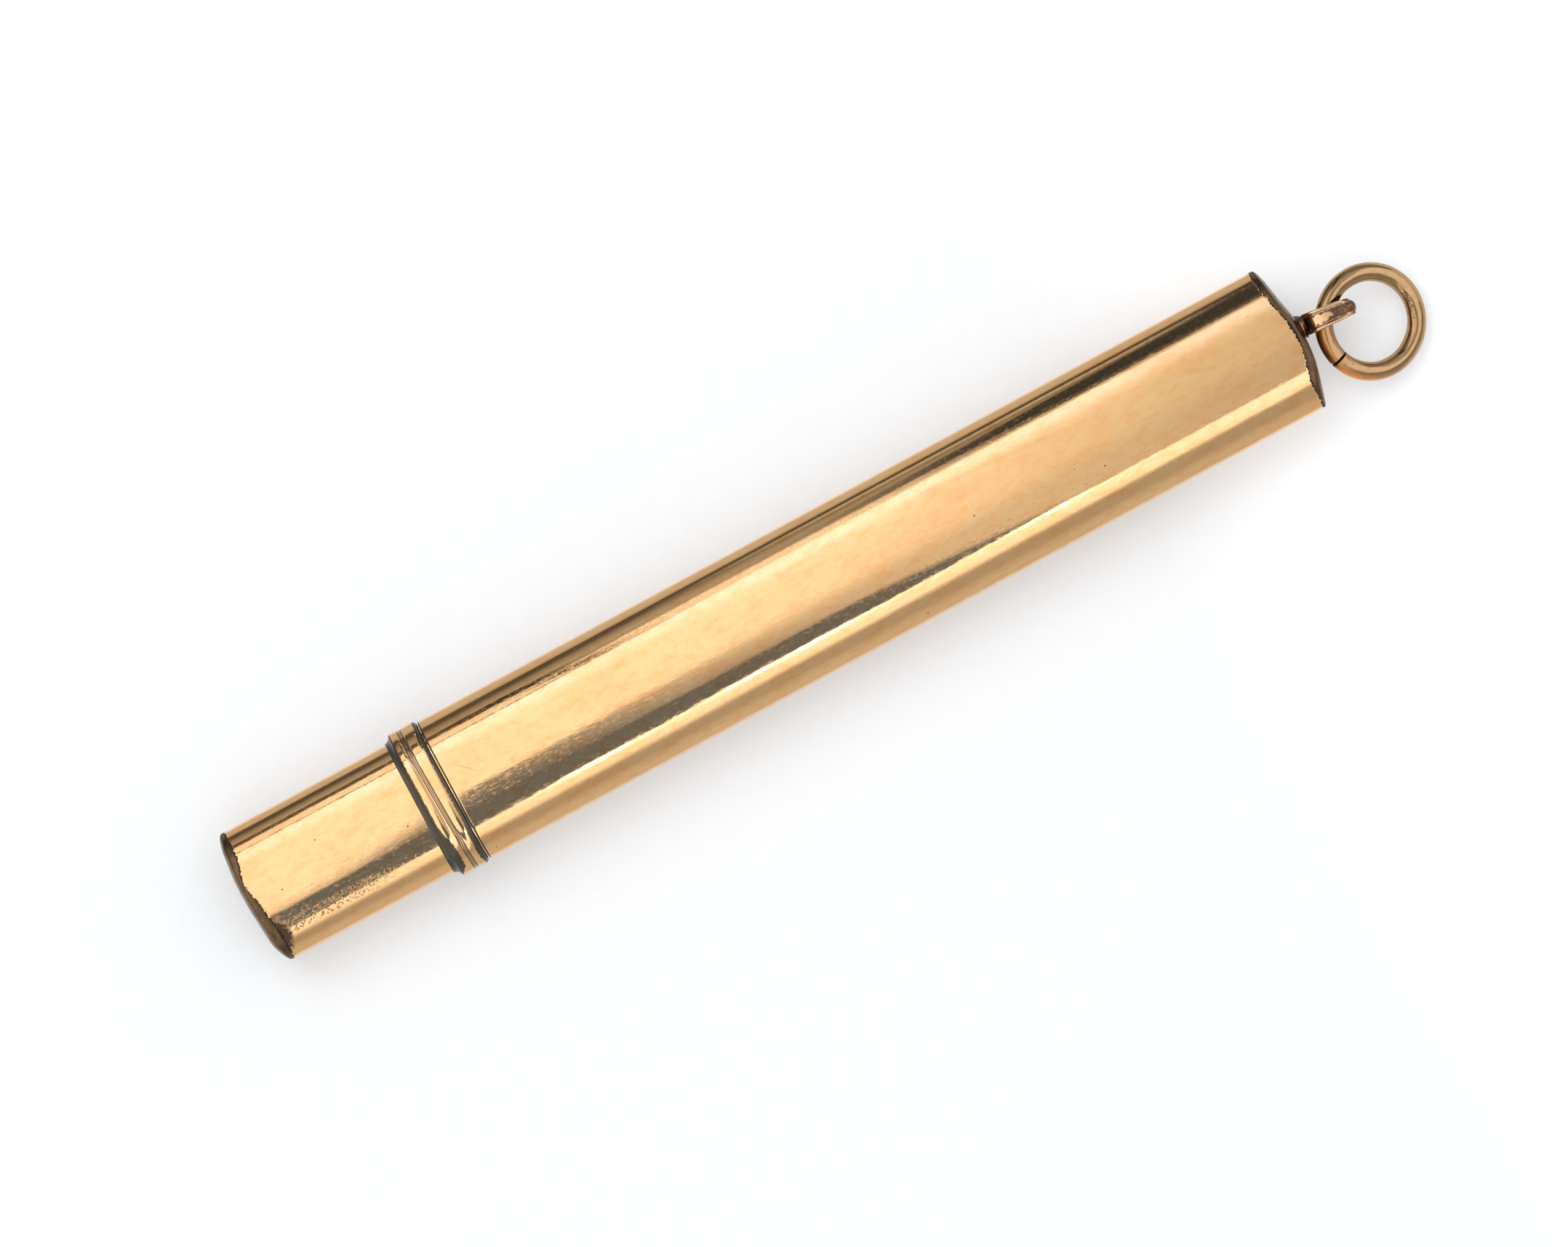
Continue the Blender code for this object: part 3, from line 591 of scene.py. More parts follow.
# what every metal has alike: fine patches, flecks and pits, and dirt and painted shade where a piece is
# painted with them
skin = {
    "finer": 4.2, "grainSize": 9000.0, "fleckSize": 6400.0, "fleckEdge": (0.44, 0.74),
    "speckSize": 5500.0, "speckEdge": (0.51, 0.58), "spotShare": 0.8, "spotHaze": 0.15, "spotDepth": 0.5,
    "stain": {"Size": 4200.0, "Ragged": 0.6}, "sootAndShade": {"Size": 2200.0, "Ragged": 0.35}, "dirtHaze": 0.22,
    "sootAndShadeMetallic": 0.6, "bump": {"Strength": 0.35, "Distance": 0.00001},
}


def metalFinish(name):
    look = {**plainMetal, **finishes[name]}
    material, tree, coords = newMaterial(name)
    shader = tree.nodes["Principled BSDF"]
    drawn = vectorMath(tree, "MULTIPLY", coords, (look["drawn"], 1.0, 1.0))[0]

    def mottle(vector, size):
        return useGroup(tree, "mottle", {"Vector": vector, "Size": size})

    def raggedMask(key):
        mask = addNode(tree, "ShaderNodeAttribute", {"attribute_name": key}).outputs["Fac"]
        return useGroup(tree, "stain", {"Vector": coords, "Mask": mask, **skin[key]})["Masked"]

    def add(first, second, share):
        return compute(tree, "ADD", first, product(tree, second, share))

    copper = addNode(tree, "ShaderNodeAttribute", {"attribute_name": "copper"}).outputs["Fac"]
    worn = addNode(tree, "ShaderNodeAttribute", {"attribute_name": "worn"}).outputs["Fac"]
    lines = {"Along": look["along"], "Across": look["across"], "Share": look["share"]}
    streaks = useGroup(tree, "streaks", {"Vector": coords, **lines})
    clouds = mottle(drawn, look["patchSize"])
    fine = mottle(drawn, look["patchSize"] * skin["finer"])
    flecks = fadeIn(tree, mottle(drawn, skin["fleckSize"])["Height"], skin["fleckEdge"])
    grain = mottle(coords, skin["grainSize"])
    stain = raggedMask("stain")
    sootAndShade = raggedMask("sootAndShade")

    pits = {"Vector": coords, "Size": look["pitSize"], "Share": look["pitShare"]}
    specks = fadeIn(tree, mottle(coords, skin["speckSize"])["Height"], skin["speckEdge"])
    spots = compute(tree, "MAXIMUM", useGroup(tree, "pits", pits)["Pits"], product(tree, specks, worn))
    for x, y, heading, length, width, darkness in look["marks"]:
        mark = useGroup(tree, "mark", {
            "Vector": coords, "Middle": (mouthX + x * mm, y * mm, axisHeight + section["halfHeight"] * mm),
            "Heading": math.radians(heading), "Sizes": (length * mm, width * mm, mm),
        })
        spots = compute(tree, "MAXIMUM", spots, product(tree, mark["Mark"], darkness))

    share = add(product(tree, clouds["Patches"], look["patchShare"]), fine["Patches"], look["fineShare"])
    colour = mixColour(tree, share, rgba(look["metal"]), rgba(look["warm"]))
    # worn-through copper; on the jump ring its colour is also brightened as a painted reflection
    colour = mixColour(tree, copper, colour, rgba(look["copper"]))
    colour = mixColour(tree, product(tree, spots, skin["spotShare"]), colour, rgba(look["pit"]))
    colour = mixColour(tree, stain, colour, rgba(look["brown"]))
    # where a piece is painted with soot and shade the colour goes to the deep colour: dirt in part, and
    # painted shade in seams, grooves, bores and crevices
    colour = mixColour(tree, sootAndShade, colour, rgba(look["deep"]))
    tree.links.new(colour, shader.inputs["Base Color"])

    rough = compute(tree, "ADD", product(tree, streaks["Streaks"], look["streakHaze"]), look["polish"])
    rough = add(rough, clouds["Patches"], look["patchHaze"])
    rough = add(rough, copper, look["copperHaze"])
    rough = add(rough, flecks, look["fleckHaze"])
    rough = add(rough, compute(tree, "MAXIMUM", stain, sootAndShade), skin["dirtHaze"])
    rough = add(rough, spots, skin["spotHaze"])
    tree.links.new(rough, shader.inputs["Roughness"])
    tree.links.new(remap(tree, sootAndShade, 0.0, 1.0, 1.0, skin["sootAndShadeMetallic"]), shader.inputs["Metallic"])

    height = add(product(tree, streaks["Height"], look["relief"]), grain["Height"], look["grain"])
    height = compute(tree, "SUBTRACT", height, product(tree, spots, skin["spotDepth"]))
    bump = addNode(tree, "ShaderNodeBump", None, {"Height": height, **skin["bump"]})
    tree.links.new(bump.outputs["Normal"], shader.inputs["Normal"])
    return material


# Graphite: dark and cloudy, with paler rubbing marks
graphite = {
    "dark": (0.028, 0.028, 0.032), "pale": (0.055, 0.055, 0.06), "rubbed": (0.10, 0.10, 0.11),
    "metallic": 0.35, "rough": (0.3, 0.7, 0.38, 0.6), "cloudSize": 5000.0,
    "bump": {"Strength": 0.5, "Distance": 0.00001},
    "streaks": {"Along": 900.0, "Across": 9000.0, "Share": 0.6},
}


def graphiteFinish():
    material, tree, coords = newMaterial("pencilLead")
    shader = tree.nodes["Principled BSDF"]
    clouds = useGroup(tree, "mottle", {"Vector": coords, "Size": graphite["cloudSize"]})
    streaks = useGroup(tree, "streaks", {"Vector": coords, **graphite["streaks"]})
    colour = mixColour(tree, clouds["Patches"], rgba(graphite["dark"]), rgba(graphite["pale"]))
    colour = mixColour(tree, streaks["Streaks"], colour, rgba(graphite["rubbed"]))
    tree.links.new(colour, shader.inputs["Base Color"])
    tree.links.new(remap(tree, clouds["Height"], *graphite["rough"]), shader.inputs["Roughness"])
    shader.inputs["Metallic"].default_value = graphite["metallic"]
    bump = addNode(tree, "ShaderNodeBump", None, {"Height": clouds["Height"], **graphite["bump"]})
    tree.links.new(bump.outputs["Normal"], shader.inputs["Normal"])
    return material


metals = {name: metalFinish(name) for name in finishes}
metals["pencilLead"] = graphiteFinish()
print("finishes made:", ", ".join(metals))


def sectionArcs():
    lean = math.asin(section["faceHalf"] / section["crown"])
    fall = section["crown"] * (1 - math.cos(lean))
    start = Vector((section["faceHalf"], section["halfHeight"] - fall))
    side = Vector((section["halfWidth"] - section["side"], 0.0))
    away = start - side
    facing = Vector((math.sin(lean), math.cos(lean)))
    shoulder = (away.length_squared - section["side"] ** 2) / (2 * (facing.dot(away) - section["side"]))
    middle = start - facing * shoulder
    turn = math.atan2(side.x - middle.x, side.y - middle.y)
    return [
        (0.0, (section["halfHeight"] - section["crown"]) * mm, section["crown"] * mm, 0.0, lean),
        (middle.x * mm, middle.y * mm, shoulder * mm, lean, turn),
        (side.x * mm, 0.0, section["side"] * mm, turn, math.pi / 2),
    ]


arcs = sectionArcs()


def ovalAt(y, z, offset):
    # the same direction on the section grown by offset
    for arcY, arcZ, radius, first, last in arcs:
        angle = math.atan2(abs(y) - arcY, abs(z) - arcZ)
        if angle <= last + 1e-6:
            break
    reach = radius + offset
    across = math.copysign(arcY + reach * math.sin(angle), y)
    return across, math.copysign(arcZ + reach * math.cos(angle), z)


def ovalLoop(bm, x, offset):
    last = bm.verts.new((x, 0.0, section["halfHeight"] * mm + offset))
    for (arcY, arcZ, radius, first, turn), steps in zip(arcs, section["steps"]):
        swept = bmesh.ops.spin(bm, geom=[last], cent=(x, arcY, arcZ), axis=(1.0, 0.0, 0.0),
                               angle=first - turn, steps=steps)
        last = swept["geom_last"][0]
    for axis in "ZY":
        bmesh.ops.mirror(bm, geom=bm.verts[:] + bm.edges[:], matrix=Matrix(), merge_dist=1e-7, axis=axis)
    return bm.edges[:]


def extrudeLoop(bm, edges, place):
    made = bmesh.ops.extrude_edge_only(bm, edges=edges)["geom"]
    for item in made:
        if isinstance(item, bmesh.types.BMVert):
            item.co = place(item.co.copy())
    return [item for item in made if isinstance(item, bmesh.types.BMEdge)]


def closePole(bm, edges, point):
    rim = extrudeLoop(bm, edges, lambda co: point)
    bmesh.ops.pointmerge(bm, verts=list({vert for edge in rim for vert in edge.verts}), merge_co=point)


def paint(bm, name, value):
    # a soft mask on the vertices, read by the finishes
    layer = bm.verts.layers.float.get(name) or bm.verts.layers.float.new(name)
    for vert in bm.verts:
        vert[layer] = max(0.0, min(1.0, value(vert.co)))


def smooth(value, low, high):
    share = max(0.0, min(1.0, (value - low) / (high - low)))
    return share * share * (3 - 2 * share)


def gone(value, low, high):
    return 1 - smooth(value, low, high)


def makePiece(name, bm, body, node, finish, crease=30.0, lift=True):
    bmesh.ops.remove_doubles(bm, verts=bm.verts[:], dist=1e-7)
    bmesh.ops.recalc_face_normals(bm, faces=bm.faces[:])
    if lift:
        bmesh.ops.translate(bm, verts=bm.verts[:], vec=(0.0, 0.0, axisHeight))
    mesh = bpy.data.meshes.new(name)
    bm.to_mesh(mesh)
    bm.free()
    mesh.shade_smooth()
    mesh.set_sharp_from_angle(angle=math.radians(crease))
    mesh.materials.append(metals[finish])
    piece = bpy.data.objects.new(name, mesh)
    scene.collection.objects.link(piece)
    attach(piece, body)
    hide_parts(node)
    return piece


# Soldered ends. Humps shape the line where a tube was trimmed, bumps the plate:
# height, place across, spread
ends = {
    "sheath": {
        "way": 1.0, "outside": 0.0, "bow": 0.56, "sharp": 2.3, "lean": -0.02, "power": 2.6,
        "corner": sheathHigh.x - 0.56 * mm,
        "humps": [(0.50, 0.0, 2.75), (-0.24, 4.4, 1.9), (-0.14, -3.2, 1.2)],
        "bumps": [(0.09, -2.4, 1.6), (0.06, 4.3, 0.8), (-0.05, 2.4, 0.8)],
    },
    "butt": {
        "way": -1.0, "outside": -0.35, "bow": 0.30, "sharp": 1.0, "lean": 0.10, "power": 3.0,
        "corner": barrelLow.x + 0.28 * mm,
        "humps": [(0.37, 1.0, 1.25), (-0.28, -3.2, 1.4), (-0.12, -4.5, 0.8), (-0.10, 3.6, 1.0)],
        "bumps": [(0.06, 1.3, 1.5), (0.10, -3.5, 0.9), (0.06, 4.0, 0.9)],
    },
}
trim = {"pitch": 0.17, "teeth": 0.12, "reach": 4.0, "seed": 7.3, "slow": 0.3, "slowShare": 0.5}


def humpsAt(humps, y):
    return sum(height * math.exp(-((y / mm - place) / spread) ** 2) for height, place, spread in humps) * mm


def halfOf(end):
    return (section["halfWidth"] + end["outside"]) * mm


def bowAt(end, y):
    # where the plate starts, beyond the corner of its tube
    share = 1 - min(1.0, (y / halfOf(end)) ** 2)
    bow = end["bow"] * share ** end["sharp"] + end["lean"] * (y / halfOf(end)) ** 3
    return bow * mm + humpsAt(end["bumps"], y)


def trimAt(end, y):
    return humpsAt(end["humps"], y)


def teethAt(end, y, z):
    spot = Vector((end["way"] * trim["seed"], y / mm, z / mm)) / trim["pitch"]
    rough = noise.noise(spot) + trim["slowShare"] * noise.noise(spot * trim["slow"])
    return rough * trim["teeth"] * mm


# Flat tubes: the open end is rolled a little inwards, the soldered end is bowed and trimmed unevenly
tubes = {
    "wall": 0.28, "runs": 44, "endRuns": 26, "innerRuns": 10, "wave": 0.006, "waveLength": 7.0,
    "waveSeed": 3.7,
    # the soldered edge: place from it, depth; the teeth are on its last part
    "edge": [(-0.02, 0.0), (-0.006, -0.004), (0.0, -0.02)], "beforeEdge": 0.07, "toothed": 0.03,
}
mouthLip = [
    (0.05, -0.28), (0.015, -0.265), (0.0, -0.23), (0.0, -0.10), (0.008, -0.06), (0.025, -0.032),
    (0.05, -0.014), (0.08, -0.005), (0.115, -0.001), (0.145, 0.0), (0.18, 0.0), (0.24, 0.0),
    (0.40, 0.0),
]
frontLip = [
    (0.04, -0.28), (0.0, -0.24), (0.0, -0.06), (0.018, -0.02), (0.05, 0.0), (0.09, 0.0), (0.16, 0.0),
]


def makeTube(bm, openX, end, lip):
    way = end["way"]
    outside = end["outside"] * mm
    length = abs(end["corner"] - openX)
    wall = tubes["wall"] * mm
    bend = length - trim["reach"] * mm
    last = length - tubes["beforeEdge"] * mm
    profile = [(u * mm, offset * mm) for u, offset in lip]
    start = profile[-1][0]
    for first, stop, runs in ((start, bend, tubes["runs"]), (bend, last, tubes["endRuns"])):
        profile += [(first + (stop - first) * step / runs, 0.0) for step in range(1, runs + 1)]
    profile += [(length + u * mm, offset * mm) for u, offset in tubes["edge"]] + [(length, -wall)]
    runs = tubes["innerRuns"]
    profile += [(length * step / runs, -wall) for step in range(runs - 1, 0, -1)]
    profile.append(profile[0])

    def placed(u, offset):
        def place(co):
            y, z = ovalAt(co.y, co.z, outside + offset)
            rimY, rimZ = ovalAt(co.y, co.z, outside)
            shift = trimAt(end, rimY) * smooth(u, bend, length)
            if u > length - tubes["toothed"] * mm:
                shift += teethAt(end, rimY, rimZ)
            spot = Vector((u, y, z)) / (tubes["waveLength"] * mm)
            wave = noise.noise(spot + Vector((tubes["waveSeed"], 0.0, way))) * tubes["wave"] * mm
            swell = 1 + wave / halfOf(end)
            return Vector((openX + way * (u + shift), y * swell, z * swell))
        return place

    first, offset = profile[0]
    edges = ovalLoop(bm, openX + way * first, outside + offset)
    for vert in bm.verts:
        vert.co = placed(first, offset)(vert.co.copy())
    for u, offset in profile[1:]:
        edges = extrudeLoop(bm, edges, placed(u, offset))


def fromTrim(end, co):
    # how far inside the trimmed line, in millimetres
    return (end["way"] * (end["corner"] - co.x) + trimAt(end, co.y)) / mm


# the rolled lip at the mouth is darkened, a painted shade in the gap against the collar
sheath = {"lipShade": 0.95, "lipEdge": (0.09, 0.14)}


def makeSheath():
    bm = bmesh.new()
    makeTube(bm, mouthX, ends["sheath"], mouthLip)
    paint(bm, "sootAndShade", lambda co: sheath["lipShade"] * gone((co.x - mouthX) / mm, *sheath["lipEdge"]))
    return makePiece("sheathSkin", bm, "sheath", "sheath_tube", "rolledGold")


barrel = {
    # a line of stain along the trimmed edge, and a patch at its lower corner
    "edgeStain": 0.5, "edgeReach": (0.03, 0.12),
    "patchStain": 0.95, "patchAt": (0.2, -3.1), "patchHalf": (0.85, 1.3), "patchEdge": (0.2, 1.35),
    # rows of small pits along the lower shoulder near the worn corner
    "wornStart": (4.5, 9.0), "wornEnd": (14.2, 14.7), "wornAt": -2.85, "wornEdge": (0.25, 0.65),
}


def makeBarrel():
    bm = bmesh.new()
    end = ends["butt"]
    makeTube(bm, barrelHigh.x, end, frontLip)

    def edgeStain(co):
        inside = ((co.x - end["corner"]) / mm - barrel["patchAt"][0]) / barrel["patchHalf"][0]
        across = (co.y / mm - barrel["patchAt"][1]) / barrel["patchHalf"][1]
        patch = barrel["patchStain"] * gone(math.hypot(inside, across), *barrel["patchEdge"])
        return max(barrel["edgeStain"] * gone(fromTrim(end, co), *barrel["edgeReach"]), patch)

    def shoulderWear(co):
        back = (mouthX - co.x) / mm
        row = smooth(back, *barrel["wornStart"]) * gone(back, *barrel["wornEnd"])
        return row * gone(abs(co.y / mm - barrel["wornAt"]), *barrel["wornEdge"]) if co.z > 0 else 0.0

    paint(bm, "stain", edgeStain)
    paint(bm, "worn", shoulderWear)
    return makePiece("barrelSkin", bm, "pencil", "pencil_barrel", "rolledGold")


# Domed end plates: a skirt up from the tube's trimmed line, then a flat dome
plate = {
    "plug": 0.75, "gap": 0.02, "edge": 0.08, "rise": 0.52, "pegHole": 0.52, "uneven": 0.012, "lump": 1.1,
    "sizes": (0.996, 0.988, 0.975, 0.955, 0.925, 0.885, 0.83, 0.76, 0.68, 0.58, 0.46, 0.34, 0.24),
    # up from the seam: lift, place in from the tube's skin
    "skirt": [(0.004, 0.03), (0.012, 0.012)], "skirtFoot": -0.02, "halfwayIn": 0.004, "leastLift": 0.02,
    "leastStep": 0.003, "lastShrink": 0.4, "holeEdge": (0.01, 0.06),
    # painted shade along the seam, more so behind the eye's foot, and round the outermost line
    "seamShade": 0.85, "seamStart": 0.02, "seamReach": 0.10, "footReach": 0.24, "footAt": 0.2,
    "footEdge": (0.6, 1.4), "outlineShade": 0.5, "outlineEdge": (0.5, 1.9),
    # painted shade round the foot, and the corners of the rim rubbed back to metal
    "creviceShade": 0.9, "creviceEdge": (0.8, 1.5),
    "rubbed": 0.8, "rubbedAcross": (0.86, 0.97), "rubbedReach": (0.05, 0.25),
}


def plateAt(end, y, size):
    rise = plate["edge"] + plate["rise"] * math.sqrt(max(0.0, 1 - size ** end["power"]))
    return end["corner"] + end["way"] * (bowAt(end, y) + rise * mm)


def makeDome(bm, end, hole):
    way = end["way"]
    outside = end["outside"] * mm
    inner = outside - (tubes["wall"] + plate["gap"]) * mm
    height = section["halfHeight"] * mm + outside

    def onOval(reach, offset):
        def place(co):
            y, z = ovalAt(co.y, co.z, offset)
            return Vector((end["corner"] + way * reach(*ovalAt(co.y, co.z, outside)), y, z))
        return place

    def plugBack(y, z):
        return bowAt(end, y) - plate["plug"] * mm

    def fromSeam(lift):
        return lambda y, z: trimAt(end, y) + teethAt(end, y, z) + lift * mm

    def rimEdge(y, z):
        return max(bowAt(end, y) + plate["edge"] * mm, fromSeam(plate["leastLift"])(y, z))

    def halfway(y, z):
        return (fromSeam(plate["skirt"][-1][0])(y, z) + rimEdge(y, z)) / 2

    def shrunk(ratio, size):
        def place(co):
            x = plateAt(end, co.y * ratio, size)
            least = way * (co.x - end["corner"]) + plate["leastStep"] * mm
            ahead = max(way * (x - end["corner"]), least)
            return Vector((end["corner"] + way * ahead, co.y * ratio, co.z * ratio))
        return place

    def holeRim(depth):
        def place(co):
            rim = Vector((co.y / halfOf(end), co.z / height)).normalized() * plate["pegHole"] * mm
            return Vector((plateAt(end, rim.x, 0.0) - way * depth * mm, rim.x, rim.y))
        return place

    back = ovalLoop(bm, end["corner"], inner)
    for vert in bm.verts:
        vert.co = onOval(plugBack, inner)(vert.co.copy())
    edges = back
    skirt = [(fromSeam(plate["skirtFoot"]), inner)]
    skirt += [(fromSeam(lift), outside - inset * mm) for lift, inset in plate["skirt"]]
    skirt += [(halfway, outside - plate["halfwayIn"] * mm), (rimEdge, outside)]
    for reach, offset in skirt:
        edges = extrudeLoop(bm, edges, onOval(reach, offset))
    last = 1.0
    for size in plate["sizes"]:
        edges = extrudeLoop(bm, edges, shrunk(size / last, size))
        last = size
    if hole:
        for depth in (*plate["holeEdge"], plate["plug"] + plate["edge"] + plate["rise"]):
            edges = extrudeLoop(bm, edges, holeRim(depth))
        extrudeLoop(bm, edges, onOval(plugBack, inner))
    else:
        edges = extrudeLoop(bm, edges, shrunk(plate["lastShrink"], last * plate["lastShrink"]))
        closePole(bm, edges, Vector((plateAt(end, 0.0, 0.0), 0.0, 0.0)))
        edges = extrudeLoop(bm, back, lambda co: Vector((co.x, co.y * 0.5, co.z * 0.5)))
        closePole(bm, edges, Vector((end["corner"] + way * plugBack(0.0, 0.0), 0.0, 0.0)))
    # a little uneven, as a plate filed by hand
    for vert in bm.verts:
        vert.co.x += way * noise.noise(vert.co / (plate["lump"] * mm)) * plate["uneven"] * mm


def domeMasks(bm, end, hasFoot):
    # painted shade along the seam and round the outline
    def rimShade(co):
        nearFoot = gone(abs(co.y / mm - plate["footAt"]), *plate["footEdge"]) if hasFoot else 0.0
        reach = plate["seamReach"] + plate["footReach"] * nearFoot
        seam = gone(-fromTrim(end, co), plate["seamStart"], reach)
        outline = gone(abs(co.z) / mm, *plate["outlineEdge"])
        return max(plate["seamShade"] * seam, plate["outlineShade"] * outline)

    # painted shade round the eye's foot
    def crevice(co):
        near = gone(math.hypot(co.y, co.z) / mm, *plate["creviceEdge"])
        return plate["creviceShade"] * near if hasFoot else 0.0

    def rubbed(co):
        corner = smooth(abs(co.y) / halfOf(end), *plate["rubbedAcross"])
        return plate["rubbed"] * corner * gone(-fromTrim(end, co), *plate["rubbedReach"])

    paint(bm, "sootAndShade", lambda co: max(rimShade(co), crevice(co)))
    paint(bm, "copper", rubbed)


def makeSheathDome():
    bm = bmesh.new()
    makeDome(bm, ends["sheath"], True)
    domeMasks(bm, ends["sheath"], True)
    return makePiece("sheathDome", bm, "sheath", "sheath_end_cap", "brownTarnish", 40.0)


def makeButtDome():
    bm = bmesh.new()
    makeDome(bm, ends["butt"], False)
    domeMasks(bm, ends["butt"], False)
    return makePiece("buttDome", bm, "pencil", "butt_end_cap", "brownTarnish", 40.0)


# Stop collar: two bands with a groove between them.
# The profile is place behind the stop face, height over the sheath's skin
collar = {
    "bore": -0.33, "groove": (0.98, 1.28), "frontBorder": 0.25, "backBorder": 1.94,
    # the groove was cut by hand and leans; both flanks are a little rough
    "slant": 0.029, "wander": 0.015, "wanderSize": 2.2, "wanderSeed": 0.004,
    "leanStart": (0.6, 0.9), "leanEnd": (1.35, 1.7),
    "flankAt": 1.15, "flankEdge": (0.86, 0.94), "flankRough": 0.02, "flankSize": 1.3,
    # the flanks' painted shade creeps over both bands on the lower shoulder
    "creepStart": (1.5, 3.6), "creepEnd": (4.7, 5.3), "creepBack": 0.36, "creepFront": 0.16, "fade": 0.07,
    "stainReach": 0.09, "grooveEdgeShade": 0.85, "edgeFade": (0.012, 0.035), "grooveCoreShade": 0.4,
    "coreFade": (0.006, 0.02), "hollowFade": 0.04, "stain": 0.6, "copper": 0.85,
    "profile": [
        (0.00, -0.12), (0.008, -0.07), (0.03, -0.01), (0.065, 0.05), (0.11, 0.095), (0.16, 0.13),
        (0.21, 0.152), (0.26, 0.165), (0.32, 0.173), (0.39, 0.178), (0.46, 0.181), (0.54, 0.182),
        (0.63, 0.180), (0.73, 0.174), (0.82, 0.165), (0.89, 0.153), (0.93, 0.140), (0.96, 0.120),
        (0.99, 0.108), (1.03, 0.116), (1.085, 0.120), (1.113, 0.114), (1.13, 0.098), (1.147, 0.114),
        (1.175, 0.120), (1.22, 0.118), (1.26, 0.106), (1.29, 0.118), (1.32, 0.138), (1.37, 0.156),
        (1.43, 0.168), (1.51, 0.177), (1.60, 0.182), (1.70, 0.182), (1.80, 0.177), (1.88, 0.167),
        (1.95, 0.153), (2.00, 0.138), (2.035, 0.11), (2.055, 0.07), (2.08, 0.0), (2.13, -0.09),
        (2.20, -0.17), (2.29, -0.23), (2.39, -0.27), (2.47, -0.285), (2.49, -0.30),
    ],
}


def collarMasks(back, y):
    fade = collar["fade"]
    low = smooth(-y, *collar["creepStart"]) * gone(-y, *collar["creepEnd"])
    outer = collar["backBorder"] - collar["creepBack"] * low
    inner = collar["frontBorder"] + collar["creepFront"] * low
    # painted shade on both flanks, with a stain along its border
    sootAndShade = max(smooth(back, outer, outer + fade), gone(back, inner - fade, inner))
    stain = max(smooth(back, outer - collar["stainReach"], outer), gone(back, inner, inner + fade))
    first, last = collar["groove"]
    # painted shade at the groove's edges and in its middle
    edge = collar["grooveEdgeShade"] * gone(min(abs(back - first), abs(back - last)), *collar["edgeFade"])
    core = collar["grooveCoreShade"] * gone(abs(back - (first + last) / 2), *collar["coreFade"])
    fade = collar["hollowFade"]
    hollow = collar["copper"] * smooth(back, first - fade, first) * gone(back, last, last + fade)
    return {"sootAndShade": max(sootAndShade, edge, core), "stain": collar["stain"] * stain, "copper": hollow}


def makeCollar():
    bm = bmesh.new()
    stopX = collarHigh.x
    layers = {key: bm.verts.layers.float.new(key) for key in ("sootAndShade", "stain", "copper")}
    bore = collar["bore"]
    profile = [(0.0, bore)] + collar["profile"] + [(collar["profile"][-1][0], bore), (0.0, bore)]

    def placed(back, height):
        def place(co):
            y, z = ovalAt(co.y, co.z, height * mm)
            cut = smooth(back, *collar["leanStart"]) * gone(back, *collar["leanEnd"])
            wander = noise.noise(Vector((y, z, collar["wanderSeed"])) / (collar["wanderSize"] * mm))
            shift = cut * (collar["slant"] * y / mm + collar["wander"] * wander)
            flank = smooth(abs(back - collar["flankAt"]), *collar["flankEdge"]) * min(1.0, back * 4)
            rough = noise.noise(Vector((y, z, back * mm)) / (collar["flankSize"] * mm))
            shift += flank * collar["flankRough"] * rough
            return Vector((stopX - (back + shift) * mm, y, z))
        return place

    edges = ovalLoop(bm, stopX, bore * mm)
    for back, height in profile[1:]:
        edges = extrudeLoop(bm, edges, placed(back, height))
        for vert in {vert for edge in edges for vert in edge.verts}:
            for key, value in collarMasks(back, vert.co.y / mm).items():
                vert[layers[key]] = value
    return makePiece("collarMoulding", bm, "pencil", "stop_collar", "rolledGold", 50.0)


for build in (makeSheath, makeBarrel, makeSheathDome, makeButtDome, makeCollar):
    piece = build()
    print("made", piece.name, len(piece.data.polygons), "faces")


# Turned pieces: a profile of (place along the axis, radius) spun once round
def lathe(profile, steps, closed=True):
    bm = bmesh.new()
    first = bm.verts.new((profile[0][0], 0.0, profile[0][1]))
    last = first
    for x, radius in profile[1:]:
        last = bmesh.ops.extrude_vert_indiv(bm, verts=[last])["verts"][0]
        last.co = (x, 0.0, radius)
    if closed:
        bmesh.ops.contextual_create(bm, geom=[last, first])
    bmesh.ops.spin(bm, geom=bm.verts[:] + bm.edges[:], cent=(0.0, 0.0, 0.0), axis=(1.0, 0.0, 0.0),
                   angle=2 * math.pi, steps=steps, use_merge=True)
    return bm


